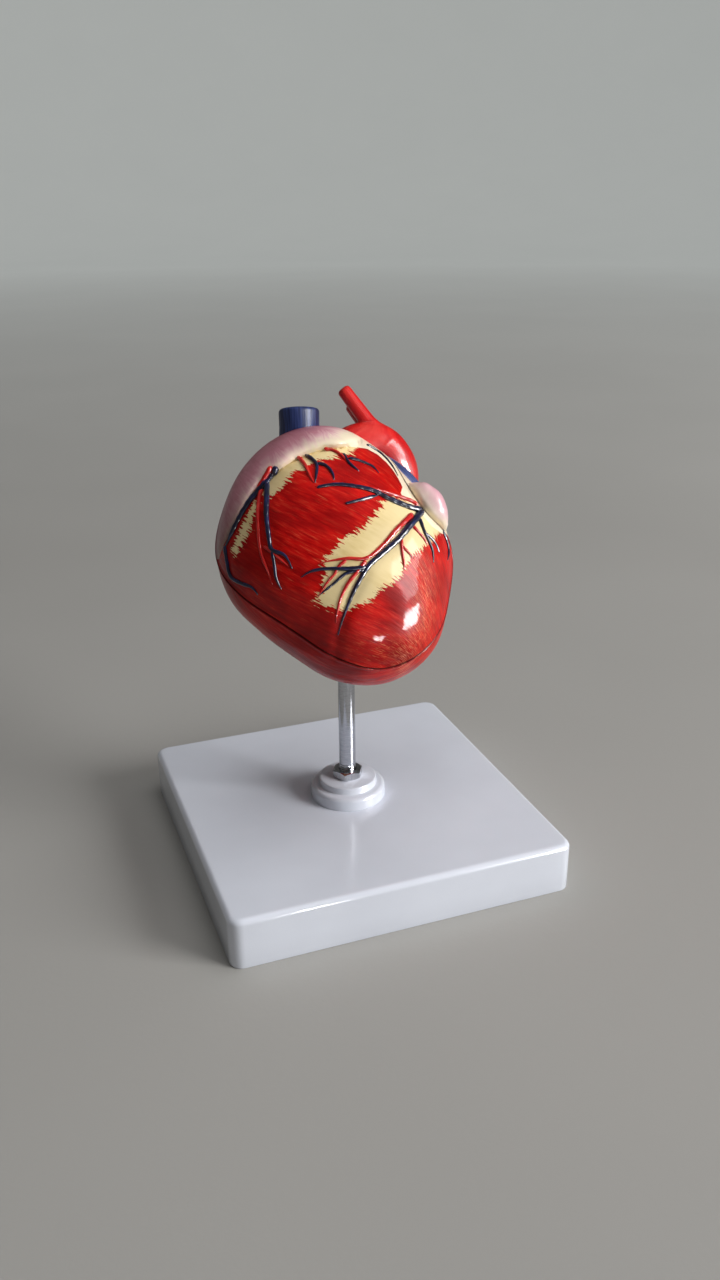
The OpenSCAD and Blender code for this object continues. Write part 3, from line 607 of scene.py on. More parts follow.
def keep_values(piece, values):
    """Stores named values at the piece's points, for its paint to read."""
    for name, data in values.items():
        data = np.asarray(data, np.float32)
        kind, key = ("FLOAT_VECTOR", "vector") if data.ndim == 2 else ("FLOAT", "value")
        piece.data.attributes.new(name, kind, "POINT").data.foreach_set(key, data.ravel())


def points_of(piece):
    return np.array([tuple(v.co) for v in piece.data.vertices])


print("the CAD front wall has", len(points_of(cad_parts["front_wall"])), "points")

# %% [markdown]
# ## The two shells
# The front wall and the back half meet at one seam, which on the real model shows as a dark line of shade
# between two small lips. Each shell could be cut from one solid. Drawn as one closed skin, it keeps even
# faces: rings over the outside, a lip, a rounded edge, a flat rim, another rounded edge and rings over the
# lining.

# %% Rings of a shell
SIDES, LINING_RINGS, RIM_EDGE_R = 300, 26, .0009
SKIN_RINGS, LIP = {1: 78, -1: 96}, {1: .0005, -1: .0007}
ANGLES = np.arange(SIDES)*360/SIDES


def unit(v):
    return v/np.maximum(np.linalg.norm(v, axis=-1, keepdims=True), 1e-12)


def bend(a, corner, b, steps):
    """A rounded edge between two rings round a corner."""
    f = np.linspace(0, 1, steps + 1)[:, None, None]
    return list((1 - f)**2*a + 2*f*(1 - f)*corner + f*f*b)


def shell_rings(side, pole):
    """A shell's rings, the t of each ring, and how many of them lie before the rounded edge."""
    rim_t, lift = seam(ANGLES), np.array([0, 0, SEAM_GAP if side > 0 else 0])
    t_rows = [pole + (rim_t - pole)*k for k in np.linspace(0, 1, SKIN_RINGS[side] + 1)[1:]]
    outer = [skin(ANGLES, t) for t in t_rows]
    corner = outer.pop() + lift
    lip = unit(corner*[1, 1, 0])*LIP[side]
    outer[-2:] = [outer[-2] + lip*.5*(side > 0), outer[-1] + lip*.9]
    corner = corner + lip
    inner_corner = plain(ANGLES, rim_t, WALL) + lift
    lining = [plain(ANGLES, pole + (rim_t - pole)*k, WALL)
              for k in np.linspace(1, 0, LINING_RINGS + 1)[1:-1]]
    back_off, across = unit(outer[-1] - corner)*RIM_EDGE_R, unit(inner_corner - corner)*RIM_EDGE_R
    down = unit(lining[0] - inner_corner)*RIM_EDGE_R*.6
    rings = (outer + bend(corner + back_off, corner, corner + across, 5)
             + bend(inner_corner - across*.6, inner_corner, inner_corner + down, 3) + lining)
    return rings, t_rows[:-1] + [rim_t]*(len(rings) - len(outer)), len(outer)


print("a shell has", SIDES, "points in each ring")

# %% [markdown]
# The paint reads its values from the points. The first ones are the brush directions. On the
# front the strokes fan out from the base to the apex, and round the limb they run along it.


# %% Brush directions
def fibres(a, t, p, side):
    """Directions along the strokes and along the limb, and how much the second one counts."""
    reach = np.minimum(t, 2 - t)*np.pi/2/np.maximum(np.sin(np.pi/2*t), 1e-6)
    x, y = p[:, 0]*reach, p[:, 1]*reach
    grid = np.linspace(-.12, .12, 400)
    slope = np.tan(np.radians(-28 - 33*smooth((grid - .3*HALF_W)/(.6*HALF_W))))
    lean = np.interp(x, grid, np.cumsum(slope)*(grid[1] - grid[0]))
    stroke = np.stack([x*.8 - y*.6, y - lean, np.where(t < 1, 0, .2) + 0*x], -1)
    way = np.stack([.05*np.cos(np.radians(a)), .05*np.sin(np.radians(a)), .08*t], -1)
    share = smooth((t - .8)/.2)*smooth((1.45 - t)/.3)
    return {"stroke": stroke, "limb": way, "share": np.maximum(share, (t < 1.1)*(side < 0))}


limb_share = fibres(np.zeros(1), np.ones(1), plain([0.], [1.]), 1)["share"]
print("at the limb, its own direction counts", limb_share[0])

# %% [markdown]
# The next values say how deep in an atrium or in the fat a point lies, how the atria's colour runs lighter
# towards the right, and where glints and shade are painted.


# %% Values for regions
def region_values(base, t, side):
    """Distances to the atria's and the fat's edges, and the depth of the atria's colour."""
    u, v = shares_of(base)
    edge = signed(base, t < 1, ATRIA, ATRIA_LINES)
    if side > 0:
        far, run = nearest(base, EDGE_FRONT)
        depth = np.where(inside(u, v, LOBE), far*1000, 0)
    else:
        run = base[:, 0]*.8 + base[:, 1]*.3
        groove_far = 1000*np.min([nearest(base, line)[0] for *_, line in GROOVES[2:]], axis=0)
        depth = np.minimum(np.maximum(edge, 0), 3 + 1.5*groove_far)
    tone = depth + np.interp(u, [-.8, -.3, 0, .2], [4, 1, -4, -8])*smooth((1.6 - t)/.6)
    return {"atrium": edge, "fat": signed(base, t < 1, FAT, FAT_LINES), "run": run, "tone": tone}


def shade_values(base, t, side):
    """Places of the painted glints on the lit ridge and round the highlights, of the painted shade, and of
    the crease's painted shadow.
    """
    u, v = shares_of(base)
    # Painted glints: pale hairs along the lit ridge and in two patches round the two highlights.
    ridge = np.interp(v, [-.71, -.5, -.21, -.04, .2], [.54, .69, .7, .63, .56])
    ridge_glint = np.clip(np.exp(-((u - ridge)/.1)**2)*smooth((.2 - v)/.3)*(t < 1), 0, 1)
    # Painted shade: darker towards the lower left, and low down towards the seam.
    painted_shade = smooth((-.3 - u)/.6)*smooth((.62 - v)/.55)
    painted_shade = np.maximum(painted_shade, .75*smooth((.3 - u)/.6)*smooth((-.22 - v)/.4))*smooth((1.6 - t)/.6)
    highlight_glint = np.minimum((u - .34)**2/.03 + (v + .68)**2/.01, (u - .7)**2/.004 + (v + .5)**2/.04)
    # Painted shadow along the crease at the atrium's tip.
    painted_crease_shade = .4*np.exp(-(1000*nearest(base, chain(TIP_EDGE, side))[0]/.7)**2)*(t < 1)
    return {"ridge_glint": ridge_glint, "painted_shade": painted_shade, "highlight_glint": np.exp(-highlight_glint)*(t < 1), "painted_crease_shade": painted_crease_shade}


ridge_spot = plain(*angles_of([[.69, -.5]], 1))
print("light on the ridge:", shade_values(ridge_spot, np.array([.5]), 1)["ridge_glint"].round(2))

# %% [markdown]
# Each shell has three materials: paint outside, pink plastic on the rim and the lining inside. The rings'
# order says which face gets which. The seam's own rings get painted shade, as a dark gap would show.


# %% Make the shells
def shell(name, side, body, node):
    pole = 0. if side > 0 else 2.
    rings, t_rows, outside = shell_rings(side, pole)
    verts, faces = stack(rings, skin(0, pole)[0], plain(0, pole, WALL).reshape(3))
    a, t = np.concatenate([ANGLES]*len(rings) + [[0., 0.]]), np.concatenate(t_rows + [[pole, pole]])
    base = plain(a, t)
    values = fibres(a, t, base, side) | region_values(base, t, side) | shade_values(base, t, side)
    # Painted shade: the seam's rounded rings are darkened, as shade in the gap.
    seam_shade_from = outside + (1 if side > 0 else 2)
    values["painted_crease_shade"][seam_shade_from*SIDES:(outside + 6)*SIDES] = 1
    piece = new_piece(name, to_stand(verts), faces, body, "muscle_paint",
                      [HEART_PAINT, LINING_PAINT, RIM_PAINT], [node])
    keep_values(piece, values)
    ring = np.array([min(face) for face in faces])//SIDES
    slots = (ring >= outside + 5)*2 - (ring >= outside + 7)
    slots[-2*SIDES:] = np.repeat([0, 1], SIDES)
    piece.data.polygons.foreach_set("material_index", slots)
    return piece


shell_front = shell("front_wall_skin", 1, "front", "front_wall")
shell_back = shell("back_half_skin", -1, "heart", "heart_back")
print("front wall", len(shell_front.data.polygons), "faces, back half", len(shell_back.data.polygons))

# %% [markdown]
# Three pegs in the front wall's rim find their holes in the back half. The holes are drilled
# with an exact boolean, because they cross the rim's rounded faces, and its result is baked
# into the mesh. The pegs' own places come from the CAD node.


# %% Peg holes
def ring_at(b, r, z):
    return np.stack([r*np.cos(b), r*np.sin(b), np.full(len(b), z)], -1)


def circle(r, z, n):
    return ring_at(np.arange(n)*2*np.pi/n, r, z)


def bake(piece):
    """Writes the modifiers' result into the piece's mesh."""
    made = bpy.data.meshes.new_from_object(piece.evaluated_get(bpy.context.evaluated_depsgraph_get()))
    piece.modifiers.clear()
    piece.data = made


def bore_holes(piece, feet, r, below, above):
    """Cuts round holes along the heart's own z, with their walls in the rim's paint."""
    parts = []
    for foot in feet:
        rings = [circle(r, 0., 32)*[k, k, 0] + foot + [0, 0, z]
                 for k, z in ((.7, -below), (1, .0004 - below), (1, above))]
        parts.append((rings, rings[0].mean(axis=0), rings[-1].mean(axis=0)))
    verts, faces = stacks(parts)
    drill = raw_object("drill", to_stand(verts), faces)
    drill.data.materials.append(RIM_PAINT)
    cut = piece.modifiers.new("holes", "BOOLEAN")
    cut.operation, cut.solver, cut.object = "DIFFERENCE", "EXACT", drill
    cut.material_mode = "TRANSFER"
    bake(piece)
    bpy.data.objects.remove(drill)


pegs = to_heart(points_of(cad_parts["locating_pegs"]))
around = angle_of(pegs[:, 0], pegs[:, 1])
near = [pegs[np.abs(around - a) < 8] for a in (128, 168, 348)]
before = len(shell_back.data.vertices)
feet = [(peg.min(axis=0) + peg.max(axis=0))/2 for peg in near]
bore_holes(shell_back, feet, r=.0016, below=.005, above=.006)
print("three peg holes:", len(shell_back.data.vertices) - before, "points more")

# %% [markdown]
# ## Coronary vessels
# On the real model these are raised cords, brushed with dark blue and red enamel. Bevelled
# curves would float over the relief, so each vessel is a thin tube that is drawn on the skin
# itself. A row gives its width at both ends and its course, in percent as before.

# %% Veins and arteries of the front
FRONT_VEINS = [
    (1., .55, "-46 62, -50 56, -54 51, -62 43, -70 35, -77 25, -84 14, -92 2"),
    (.8, .4, "-54 51, -54 37, -54 25, -52 10, -50 2, -40 -2, -34 -12"),
    (.5, .3, "-50 2, -48 -10, -47 -18, -43 -26"),
    (.55, .45, "-90 7, -88 -4, -85 -16, -76 -21, -67 -24, -62 -30"),
    (.6, .3, "-24 70, -15 63, -15 54, -16 48"),
    (.5, .3, "-15 63, -7 61, -2 55, -1 50"),
    (.5, .3, "6 71, 11 63, 19 57"),
    (.45, .25, "10 67, 20 65, 30 61, 35 56"),
    (.4, .8, "-15 45, 1 47, 19 45, 31 42, 42 37, 59 31, 70 30"),
    (.35, .5, "7 33, 24 37, 34 40"),
    (.95, .35, "70 30, 59 19, 48 8, 34 -3, 24 -11, 14 -26, 8 -38, 3 -50, 0 -59"),
    (.65, .3, "24 -11, 13 -12, 2 -12, -11 -12, -21 -14, -28 -18"),
    (.5, .25, "23 -13, 8 -15, -2 -22, -15 -31"),
    (.5, .3, "66 24, 70 13, 76 1, 77 -9"),
    (.4, .25, "70 13, 78 7, 83 -2"),
    (.4, .22, "25 80, 31 77.5, 38 73.3, 43.5 67.7, 47.8 61.5, 51 55"),
    (.45, .3, "86 16, 90 8, 91.5 0, 90 -7"),
]
FRONT_ARTERIES = [
    (.95, .6, "-50 62, -54 57, -64 44, -75 29, -80 22"),
    (.85, .4, "-57 46, -60 40, -61 22, -59 1, -54 -12, -50 -23"),
    (.6, .35, "-57 5, -47 -2, -37 -10"),
    (.85, .4, "-30 69, -24 62, -19 52, -16 48"),
    (.8, .4, "-9 75, 0 72, 6 68, 10 63"),
    (.5, .8, "26 45, 43 41, 60 36, 66 32"),
    (1., .4, "61 27, 46 14, 36 4, 23 -5, 8 -5, -8 -7, -14 -9"),
    (.75, .35, "23 -6, 15 -15, 8 -23, 3 -32, 0 -42, -1 -50"),
    (.6, .3, "8 -6, 2 -10, -2 -16, -8 -22, -15 -32"),
    (.6, .4, "51 9, 51 1, 52 -6, 53 -14"),
    (.5, .3, "51 4, 58 -3, 61 -6"),
    (.6, .4, "59 19, 62 16, 69 9, 72 4"),
]
print("front:", len(FRONT_VEINS), "veins and", len(FRONT_ARTERIES), "arteries")

# %% [markdown]
# The photograph doesn't show the back, so its vessels follow the anatomy: a wide vein in the
# groove below the atria, and branches that run down from it.

# %% Veins and arteries of the back
BACK_VEINS = [
    (1., 1.1, "90 -2, 75 -10, 50 -14, 20 -18, -10 -20, -34 -16"),
    (.8, .35, "-20 -20, -24 -45, -20 -70, -10 -86"),
    (.6, .3, "30 -17, 36 -40, 33 -62, 26 -78"),
    (.5, .3, "62 -13, 66 -30, 60 -50"),
]
BACK_ARTERIES = [
    (.9, .5, "-84 -30, -68 -46, -46 -42, -28 -30"),
    (.9, .35, "-30 -27, -31 -50, -26 -72, -17 -86"),
    (.8, .4, "88 -12, 70 -20, 46 -24, 44 -45, 40 -66"),
    (.6, .3, "-62 -46, -52 -60, -38 -72"),
]
print("back:", len(BACK_VEINS), "veins and", len(BACK_ARTERIES), "arteries")

# %% [markdown]
# A course is smoothed, cut into even steps and laid on the skin. Small steps to both sides
# give the skin's slope, and so the way up.


# %% Courses on the skin
def along(points, n):
    """A smooth open curve through points, as n + 1 points."""
    p = np.asarray(points, float)
    x = np.linspace(0, len(p) - 1, n + 1)
    i = np.minimum(np.floor(x).astype(int), len(p) - 2)
    return between(*(p[np.clip(i + k, 0, len(p) - 1)] for k in (-1, 0, 1, 2)), (x - i)[:, None])


def travelled(line):
    """How far along a line each of its points is."""
    return np.concatenate([[0], np.cumsum(np.linalg.norm(np.diff(line, axis=0), axis=1))])


def at(line, run):
    """The points at some distances along a line."""
    steps = travelled(line)
    return np.stack([np.interp(run, steps, line[:, k]) for k in range(line.shape[1])], -1)


STEP_MM, PROBE, TUBE_SIDES = .7, .012, 14


def on_skin(course, side):
    """A course's points on the skin, their ways up, and its length in millimetres."""
    halves = np.array([1000*HALF_W, 1000*HALF_H])
    p = np.array(places(course))*halves
    long = travelled(p)[-1]
    fine = along(p, 40*len(p))
    shares = at(fine, np.linspace(0, travelled(fine)[-1], max(10, int(long/STEP_MM)) + 1))/halves
    mid = skin(*angles_of(shares, side))
    du, dv = (skin(*angles_of(shares + way, side)) - skin(*angles_of(shares - way, side))
              for way in np.eye(2)*PROBE)
    up = side*unit(np.cross(du, dv))
    for _ in range(2):
        up[1:-1] = unit(up[:-2] + 2*up[1:-1] + up[2:])
        mid[1:-1] = (mid[:-2] + 2*mid[1:-1] + mid[2:])/4
    return mid, up, long


print("the first vein is", round(on_skin(FRONT_VEINS[0][2], 1)[2], 1), "mm long")

# %% [markdown]
# The tube wavers a little, as brushed enamel does, tapers to its tip and sinks into the skin
# at both ends. The enamel's streaks run along it.


# %% Tubes on the skin
def vessel(big, small, course, side, widest):
    """One vessel's rings and end points, and the flow of its paint at each point."""
    mid, up, long = on_skin(course, side)
    f = np.linspace(0, 1, len(mid))
    r = widest/2*(big + (small - big)*f)*(1 - .55*smooth((f - .72)/.28)*(small < .6))
    tip = np.sqrt(np.clip(1 - (1 - np.minimum(f, 1 - f)*long/(r*1000*2)).clip(0)**2, .003, 1))
    r = r*(1 + .05*np.sin(34*f*long/20 + 5*big) + .03*np.sin(11*f*long/20 + 2))
    across = unit(np.cross(unit(np.gradient(mid, axis=0)), up))
    centres = mid + up*(r*(.3*tip - .5*(1 - tip)))[:, None]
    b = np.arange(TUBE_SIDES)*2*np.pi/TUBE_SIDES
    rings = [c + k*(np.outer(np.cos(b), s) + np.outer(np.sin(b), u))
             for c, k, s, u in zip(centres, r*tip, across, up)]
    flow = [(long/1000*share, c, 0) for share in f for c in np.cos(b)] + [(0, 0, 0), (long/1000, 0, 0)]
    return (rings, rings[0].mean(axis=0), rings[-1].mean(axis=0)), flow


def enamel(name, colours, coat):
    p = Paint(name, roughness=.3, coat=coat, coat_roughness=.05)
    colour = p.ramp(p.noise((160, 2.2, 1), 3., p.value("flow", True)), (.3, .5, .74), colours)
    return p.finish(colour, None, p.noise(900, 2.), .00008, .5)


VEIN_PAINT = enamel("vein_paint", [(5, 7, 20), (14, 18, 46), (34, 46, 104)], .6)
ARTERY_PAINT = enamel("artery_paint", [(150, 6, 8), (204, 16, 16), (234, 70, 56)], .5)
for name, rows, side, body in (
        ("front_veins", FRONT_VEINS, 1, "front"), ("front_arteries", FRONT_ARTERIES, 1, "front"),
        ("back_veins", BACK_VEINS, -1, "heart"), ("back_arteries", BACK_ARTERIES, -1, "heart")):
    slot, paint, widest = (("vein_paint", VEIN_PAINT, .0034) if "veins" in name
                           else ("artery_paint", ARTERY_PAINT, .0025))
    made = [vessel(*row, side, widest) for row in rows]
    verts, faces = stacks([part for part, _ in made])
    piece = new_piece(name + "_tubes", to_stand(verts), faces, body, slot, [paint], [name])
    keep_values(piece, {"flow": [value for _, flow in made for value in flow]})
    print(name, len(rows), "vessels,", len(faces), "faces")

# %% [markdown]
# ## The great vessels
# The real aorta and trunk are cast stubs, painted in long streaks along the vessel. Their
# paint needs to know how far along and how far round its tube each point lies.


# %% Paint along a tube
def brushed(name, dark, main, light, roughness, coat):
    p = Paint(name, roughness=roughness, coat=coat, coat_roughness=.12)
    way = p.value("flow", True)
    thin, slow = p.noise((50, 10, 1), 4., way), p.noise((35, 2, 1), 2., way)
    colour = p.ramp(p.blend(thin, slow), (.34, .5, .66), (dark, main, light))
    return p.finish(colour, (roughness - .1, slow, .25), p.plus(thin, slow), .00025, .6)


def keep_flow(piece, courses):
    """Keeps how far along and how far round the nearest of some courses each point lies."""
    points = to_heart(points_of(piece))
    best, out = np.full(len(points), 9.), np.zeros((len(points), 3))
    for index, (line, r) in enumerate(courses):
        gap, run = nearest(points, line)
        off = unit(points - at(line, run))
        take = gap/r < best
        best = np.where(take, gap/r, best)
        out[take] = np.c_[run + index*.3, off[:, 0], off[:, 2]][take]
    keep_values(piece, {"flow": out})


AORTA_PAINT = brushed("aorta_paint", (176, 8, 12), (214, 18, 20), (232, 58, 48), .36, .3)
TRUNK_PAINT = brushed("trunk_paint", (26, 32, 72), (66, 78, 128), (124, 134, 174), .36, .3)
CAVA_PAINT = brushed("cava_paint", (16, 22, 54), (32, 44, 90), (58, 76, 134), .42, .2)
LUNG_PAINT = brushed("lung_vein_paint", (120, 10, 16), (168, 24, 28), (204, 66, 62), .36, .3)
print("vessel paints:", AORTA_PAINT.name, TRUNK_PAINT.name, CAVA_PAINT.name, LUNG_PAINT.name)

# %% [markdown]
# A tube's rings follow its course without a twist, because each ring's first direction is
# carried over from the ring before. Its closed end is flat with a rounded edge.


# %% Tubes with rounded ends
def placed(shares):
    return np.asarray(shares, float)*[HALF_W, HALF_H, BACK]


def tube_rings(centres, radii, sides):
    heading = unit(np.gradient(centres, axis=0))
    u = unit(np.cross(heading[0], [.3, .2, 1.]))
    rings, b = [], np.arange(sides)*2*np.pi/sides
    for c, h, r in zip(centres, heading, radii):
        u = unit(u - h*(u @ h))
        rings.append(c + r*(np.outer(np.cos(b), u) + np.outer(np.sin(b), np.cross(h, u))))
    return rings


def rounded_tube(centres, r, sides, cap=.0016):
    centres = np.asarray(centres, float)
    run = travelled(centres)
    steps = cap*(1 - np.cos(np.linspace(0, np.pi/2, 6)))[:-1]
    place = np.unique(np.concatenate([run[-1] - steps, run[run < run[-1] - cap], [run[-1] - cap]]))
    line, tail = at(centres, place), np.clip(run[-1] - place, 0, cap)
    rad = np.interp(place, run, np.broadcast_to(r, len(centres)).astype(float))
    rad = rad - cap*(1 - np.sqrt(np.clip(1 - ((cap - tail)/cap)**2, 0, 1)))
    rings = tube_rings(line, rad, sides)
    return rings + [rings[-1]*(1 - k) + line[-1]*k for k in (.25, .6)], line[0], line[-1]


print("rings of a short tube:", len(rounded_tube([[0, 0, 0], [0, 0, .01]], .002, 8)[0]))

# %% [markdown]
# The aorta's arch and its branches are separate tubes that are melted into one skin by a
# remesh and then relaxed, which leaves soft forks as in a cast. A boolean would leave creases.

# %% Aorta
AORTA = placed([[0, -.06, -.1], [-.02, .2, -.27], [-.04, .5, -.42], [-.04, .68, -.5], [.05, .8, -.55],
                [.17, .88, -.59], [.32, .9, -.63], [.43, .86, -.67], [.51, .78, -.72], [.56, .69, -.8],
                [.57, .58, -.84], [.57, .46, -.88]])
BRANCH_FEET = placed([[.36, .96, -.6], [.35, .95, -.78], [.38, .93, -.94]])
BRANCH_WAY = unit(np.array([-.6, .8, .06]))
ARCH_R, BRANCH_R, LONGEST = .009, .0035, .033
arch, f = along(AORTA, 66), np.linspace(0, 1, 30)
parts, courses = [rounded_tube(arch, ARCH_R, 40)], [(arch, ARCH_R)]
for foot, share in zip(BRANCH_FEET, (1, .8, .7)):
    long, start = LONGEST*share, foot - BRANCH_WAY*.007
    line = np.array([start + BRANCH_WAY*long*k for k in f])
    flare = np.interp(f*long, [0, .007, .00875, .0105, .014, long], [2, 1.7, 1.45, 1.25, 1.06, .92])
    parts.append(rounded_tube(line, BRANCH_R*flare, 24))
    courses.append((line, BRANCH_R))
verts, faces = stacks(parts)
aorta = new_piece("aorta_arch", to_stand(verts), faces, "heart", "aorta_paint", [AORTA_PAINT], ["aorta"])
melt = aorta.modifiers.new("melt", "REMESH")
melt.mode, melt.voxel_size, melt.use_smooth_shade = "VOXEL", .0006, True
relax = aorta.modifiers.new("relax", "SMOOTH")
relax.factor, relax.iterations = .5, 5
bake(aorta)
aorta.data.shade_smooth()
keep_flow(aorta, courses)
print("aorta", len(aorta.data.polygons), "faces")

# %% [markdown]
# The pulmonary trunk leaves the right ventricle under the arch and bends to the heart's left.
# Its first part is hollow, so that the valve in it can be seen from the open chamber.

# %% Pulmonary trunk
TRUNK = placed([[.13, .36, .14], [.15, .5, -.04], [.22, .64, -.22], [.36, .68, -.34], [.5, .62, -.4],
                [.62, .52, -.44], [.7, .42, -.49]])
line = along(TRUNK, 60)
line = line - np.outer(smooth(np.linspace(-.3, 1.2, 61)), [0, .0006, .0004])
rings, first, last = rounded_tube(line, .0062, 40)
bore = tube_rings(line[:12], np.full(12, .0054), 40)[::-1]
verts, faces = stack(bore + rings, line[11], last)
trunk = new_piece("trunk_tube", to_stand(verts), faces, "heart", "trunk_paint", [TRUNK_PAINT],
                  ["pulmonary_trunk"])
keep_flow(trunk, [(line, .007)])
print("trunk", len(trunk.data.polygons), "faces")

# %% [markdown]
# The hollow veins and the lung veins are short straight stubs. A plain cylinder would look
# machined. Real castings aren't perfectly round, so each stub's radius wavers a little.


# %% Stubs
def stub_piece(name, starts, ways, r, long, slot, paint, node):
    parts, lines, f = [], [], np.linspace(0, 1, 28)
    b = np.arange(48)*2*np.pi/48
    for start, way in zip(starts, ways):
        line = np.array([start + unit(np.asarray(way, float))*long*k for k in f])
        waist = r*np.interp(f, [0, .35, .5, 1], [1., 1., .985, 1.])
        rings, first, last = rounded_tube(line, waist, 48, cap=.0015)
        for k, ring in enumerate(rings):
            mid = ring.mean(axis=0)
            rings[k] = mid + (ring - mid)*(1 - .012 + .012*np.sin(3*b + k*.08))[:, None]
        parts.append((rings, first, last))
        lines.append((line, r))
    verts, faces = stacks(parts)
    keep_flow(new_piece(name, to_stand(verts), faces, "heart", slot, [paint], [node]), lines)
    print(name, len(starts), "of", round(2000*r), "mm")


stub_piece("upper_cava_stub", [placed([-.31, .85, -.42])], [(-.02, 1, 0)], r=.0095, long=.017,
           slot="cava_paint", paint=CAVA_PAINT, node="upper_vena_cava")
low_way = unit(np.array([-.35, -.75, -.55]))
stub_piece("lower_cava_stub", [plain(196, 1.5, WALL).reshape(3) + low_way*WALL/2], [low_way], r=.008,
           long=.016, slot="cava_paint", paint=CAVA_PAINT, node="lower_vena_cava")
lung = np.array([[-.3, .52], [-.34, .26], [.7, .22], [.66, 0]])
ways = [unit(np.array([np.sign(s[0])*.8, .1, -.6])) for s in lung]
feet = [f - w*WALL*.9 for f, w in zip(skin(*angles_of(lung, -1)), ways)]
stub_piece("lung_vein_stubs", feet, ways, r=.0045, long=.015, slot="lung_vein_paint", paint=LUNG_PAINT,
           node="pulmonary_veins")

# %% [markdown]
# ## The left auricle
# A pale ear of thin wall lies over the heart's upper right. It could be sculpted from a
# sphere, but a short tube of flattened rings along a bent course is easier to steer. Beside
# the front wall's rim its top is lowered to the rim's height, so that the wall can come past,
# and from there it swells to its full height.

# %% Auricle
EAR = [[.585, .5, .28], [.62, .45, .33], [.68, .385, .37], [.755, .305, .37], [.82, .21, .33],
       [.88, .13, .28]]
EAR_RINGS, EAR_SIDES, EAR_WIDE, EAR_DEEP, BLEND = 72, 96, .016, .026, .006
mids = along(EAR, EAR_RINGS)*[HALF_W, HALF_H, FRONT]
widths = along([[w] for w in (.25, .75, 1, 1, .75, .3)], EAR_RINGS)[:, 0]
ahead = unit(np.gradient(mids, axis=0)*[1, 1, 0])
side_way = np.stack([ahead[:, 1], -ahead[:, 0], 0*ahead[:, 0]], -1)
b = np.arange(EAR_SIDES)*2*np.pi/EAR_SIDES
rings = []
for k in range(EAR_RINGS + 1):
    wave = 1 + .012*np.sin(k*.35 + 1) + .012*np.sin(k*.2 + 2*b)
    wave *= np.sqrt(np.clip(min(k + 1, EAR_RINGS + 1 - k)/8, 0, 1))
    reach = np.where(np.cos(b) > 0, .6, 1.)*np.cos(b)*EAR_WIDE*wave
    up = np.outer(EAR_DEEP*np.sin(b)*wave, [0, 0, 1])
    rings.append(mids[k] + widths[k]/2*(np.outer(reach, side_way[k]) + up))
verts, faces = stack(rings, mids[0], mids[-1])
print("auricle's course is", round(1000*travelled(mids)[-1], 1), "mm long")

# %% [markdown]
# A point above the roof over its place is lowered to it, and the crease is blended over 6 mm.


# %% Room for the front wall
def past_rim(points):
    """How far each point lies outside the front wall's rim, and the rim's height there."""
    a = angle_of(points[:, 0], points[:, 1])
    rim = skin(a, seam(a))
    return np.hypot(points[:, 0], points[:, 1]) - np.hypot(rim[:, 0], rim[:, 1]), rim[:, 2]


verts = np.array(verts)
beyond, rim_height = past_rim(verts)
beyond = beyond - SEAM_GAP
swell = .0021*(1 - (1 - np.clip(beyond/.0028, 0, 1))**2) + .0012*smooth(beyond/.012)
roof = rim_height + np.where(beyond > 0, swell, 1.5*beyond - .0002)
lowered = verts[:, 2] > roof
close = np.maximum(BLEND - np.abs(verts[:, 2] - roof), 0)/BLEND
verts[:, 2] = np.minimum(verts[:, 2], roof) - close**2*BLEND/4
print(int(lowered.sum()), "points lowered to the swell")

# %% [markdown]
# The ear is cream near the wall and turns pink outwards, so its points keep how far out they lie. Near the
# wall the cream is made extra light, as painted light on the ear's steep side. Thin streaks run along its
# course.


# %% Auricle's paint
def auricle_paint():
    p = Paint("auricle_paint", roughness=.36, coat=.35, coat_roughness=.08)
    broad, thin = p.noise(60, 2.), p.noise((260, 6, 6), 4., p.value("flow", True))
    tone = p.plus(p.value("outer"), p.swing(thin, .5), p.swing(broad, .4))
    # The palest cream near the wall is partly the ear's own cream and partly painted light.
    colour = p.ramp(tone, (.15, .42, .7, 1.), [(255, 240, 206), (255, 232, 218), (244, 204, 204),
                                               (228, 174, 184)])
    return p.finish(colour, (.26, thin, .2), p.plus(thin, broad), .0003, .5)


ear = new_piece("auricle_skin", to_stand(verts), faces, "heart", "auricle_paint", [auricle_paint()],
                ["left_auricle"])
points = to_heart(points_of(ear))
run = nearest(points, mids)[1]
off = points - at(mids, run)
outer = past_rim(points)[0]/.0085 - .25*(run/travelled(mids)[-1] - .5)
keep_values(ear, {"outer": outer, "flow": np.c_[run, 40*off[:, 0], 40*off[:, 2]]})
print("auricle", len(ear.data.polygons), "faces")

# %% [markdown]
# ## Inside the heart
# Septa, valves, muscles and strings are already right in the CAD model, so they only get
# their paint and soft shading. Their paint is brushed on over a cast grain.


# %% Inner paints
def inner_paint(name, dark, main, light, bump=.0003):
    p = Paint(name, roughness=.38, coat=.25, coat_roughness=.15)
    thin, broad = p.noise((220, 220, 60), 4., rough=.6), p.noise(45, 2.)
    colour = p.ramp(p.blend(thin, broad), (.36, .5, .64), (dark, main, light))
    return p.finish(colour, (.3, thin, .2), thin, bump, .7)


CHAMBER_PAINT = inner_paint("chamber_paint", (150, 34, 36), (190, 66, 60), (216, 110, 98))
ATRIUM_PAINT = inner_paint("atrium_paint", (168, 104, 112), (204, 146, 148), (228, 184, 176))
VALVE_PAINT = inner_paint("valve_paint", (214, 190, 150), (236, 218, 184), (246, 236, 212), .0002)
print("inner paints:", CHAMBER_PAINT.name, ATRIUM_PAINT.name, VALVE_PAINT.name)

# %% [markdown]
# A CAD mesh has flat faces that don't share their points. A small geometry-nodes modifier
# joins the points and keeps an edge sharp only where its two faces meet at more than 35
# degrees. The mesh itself is left alone.


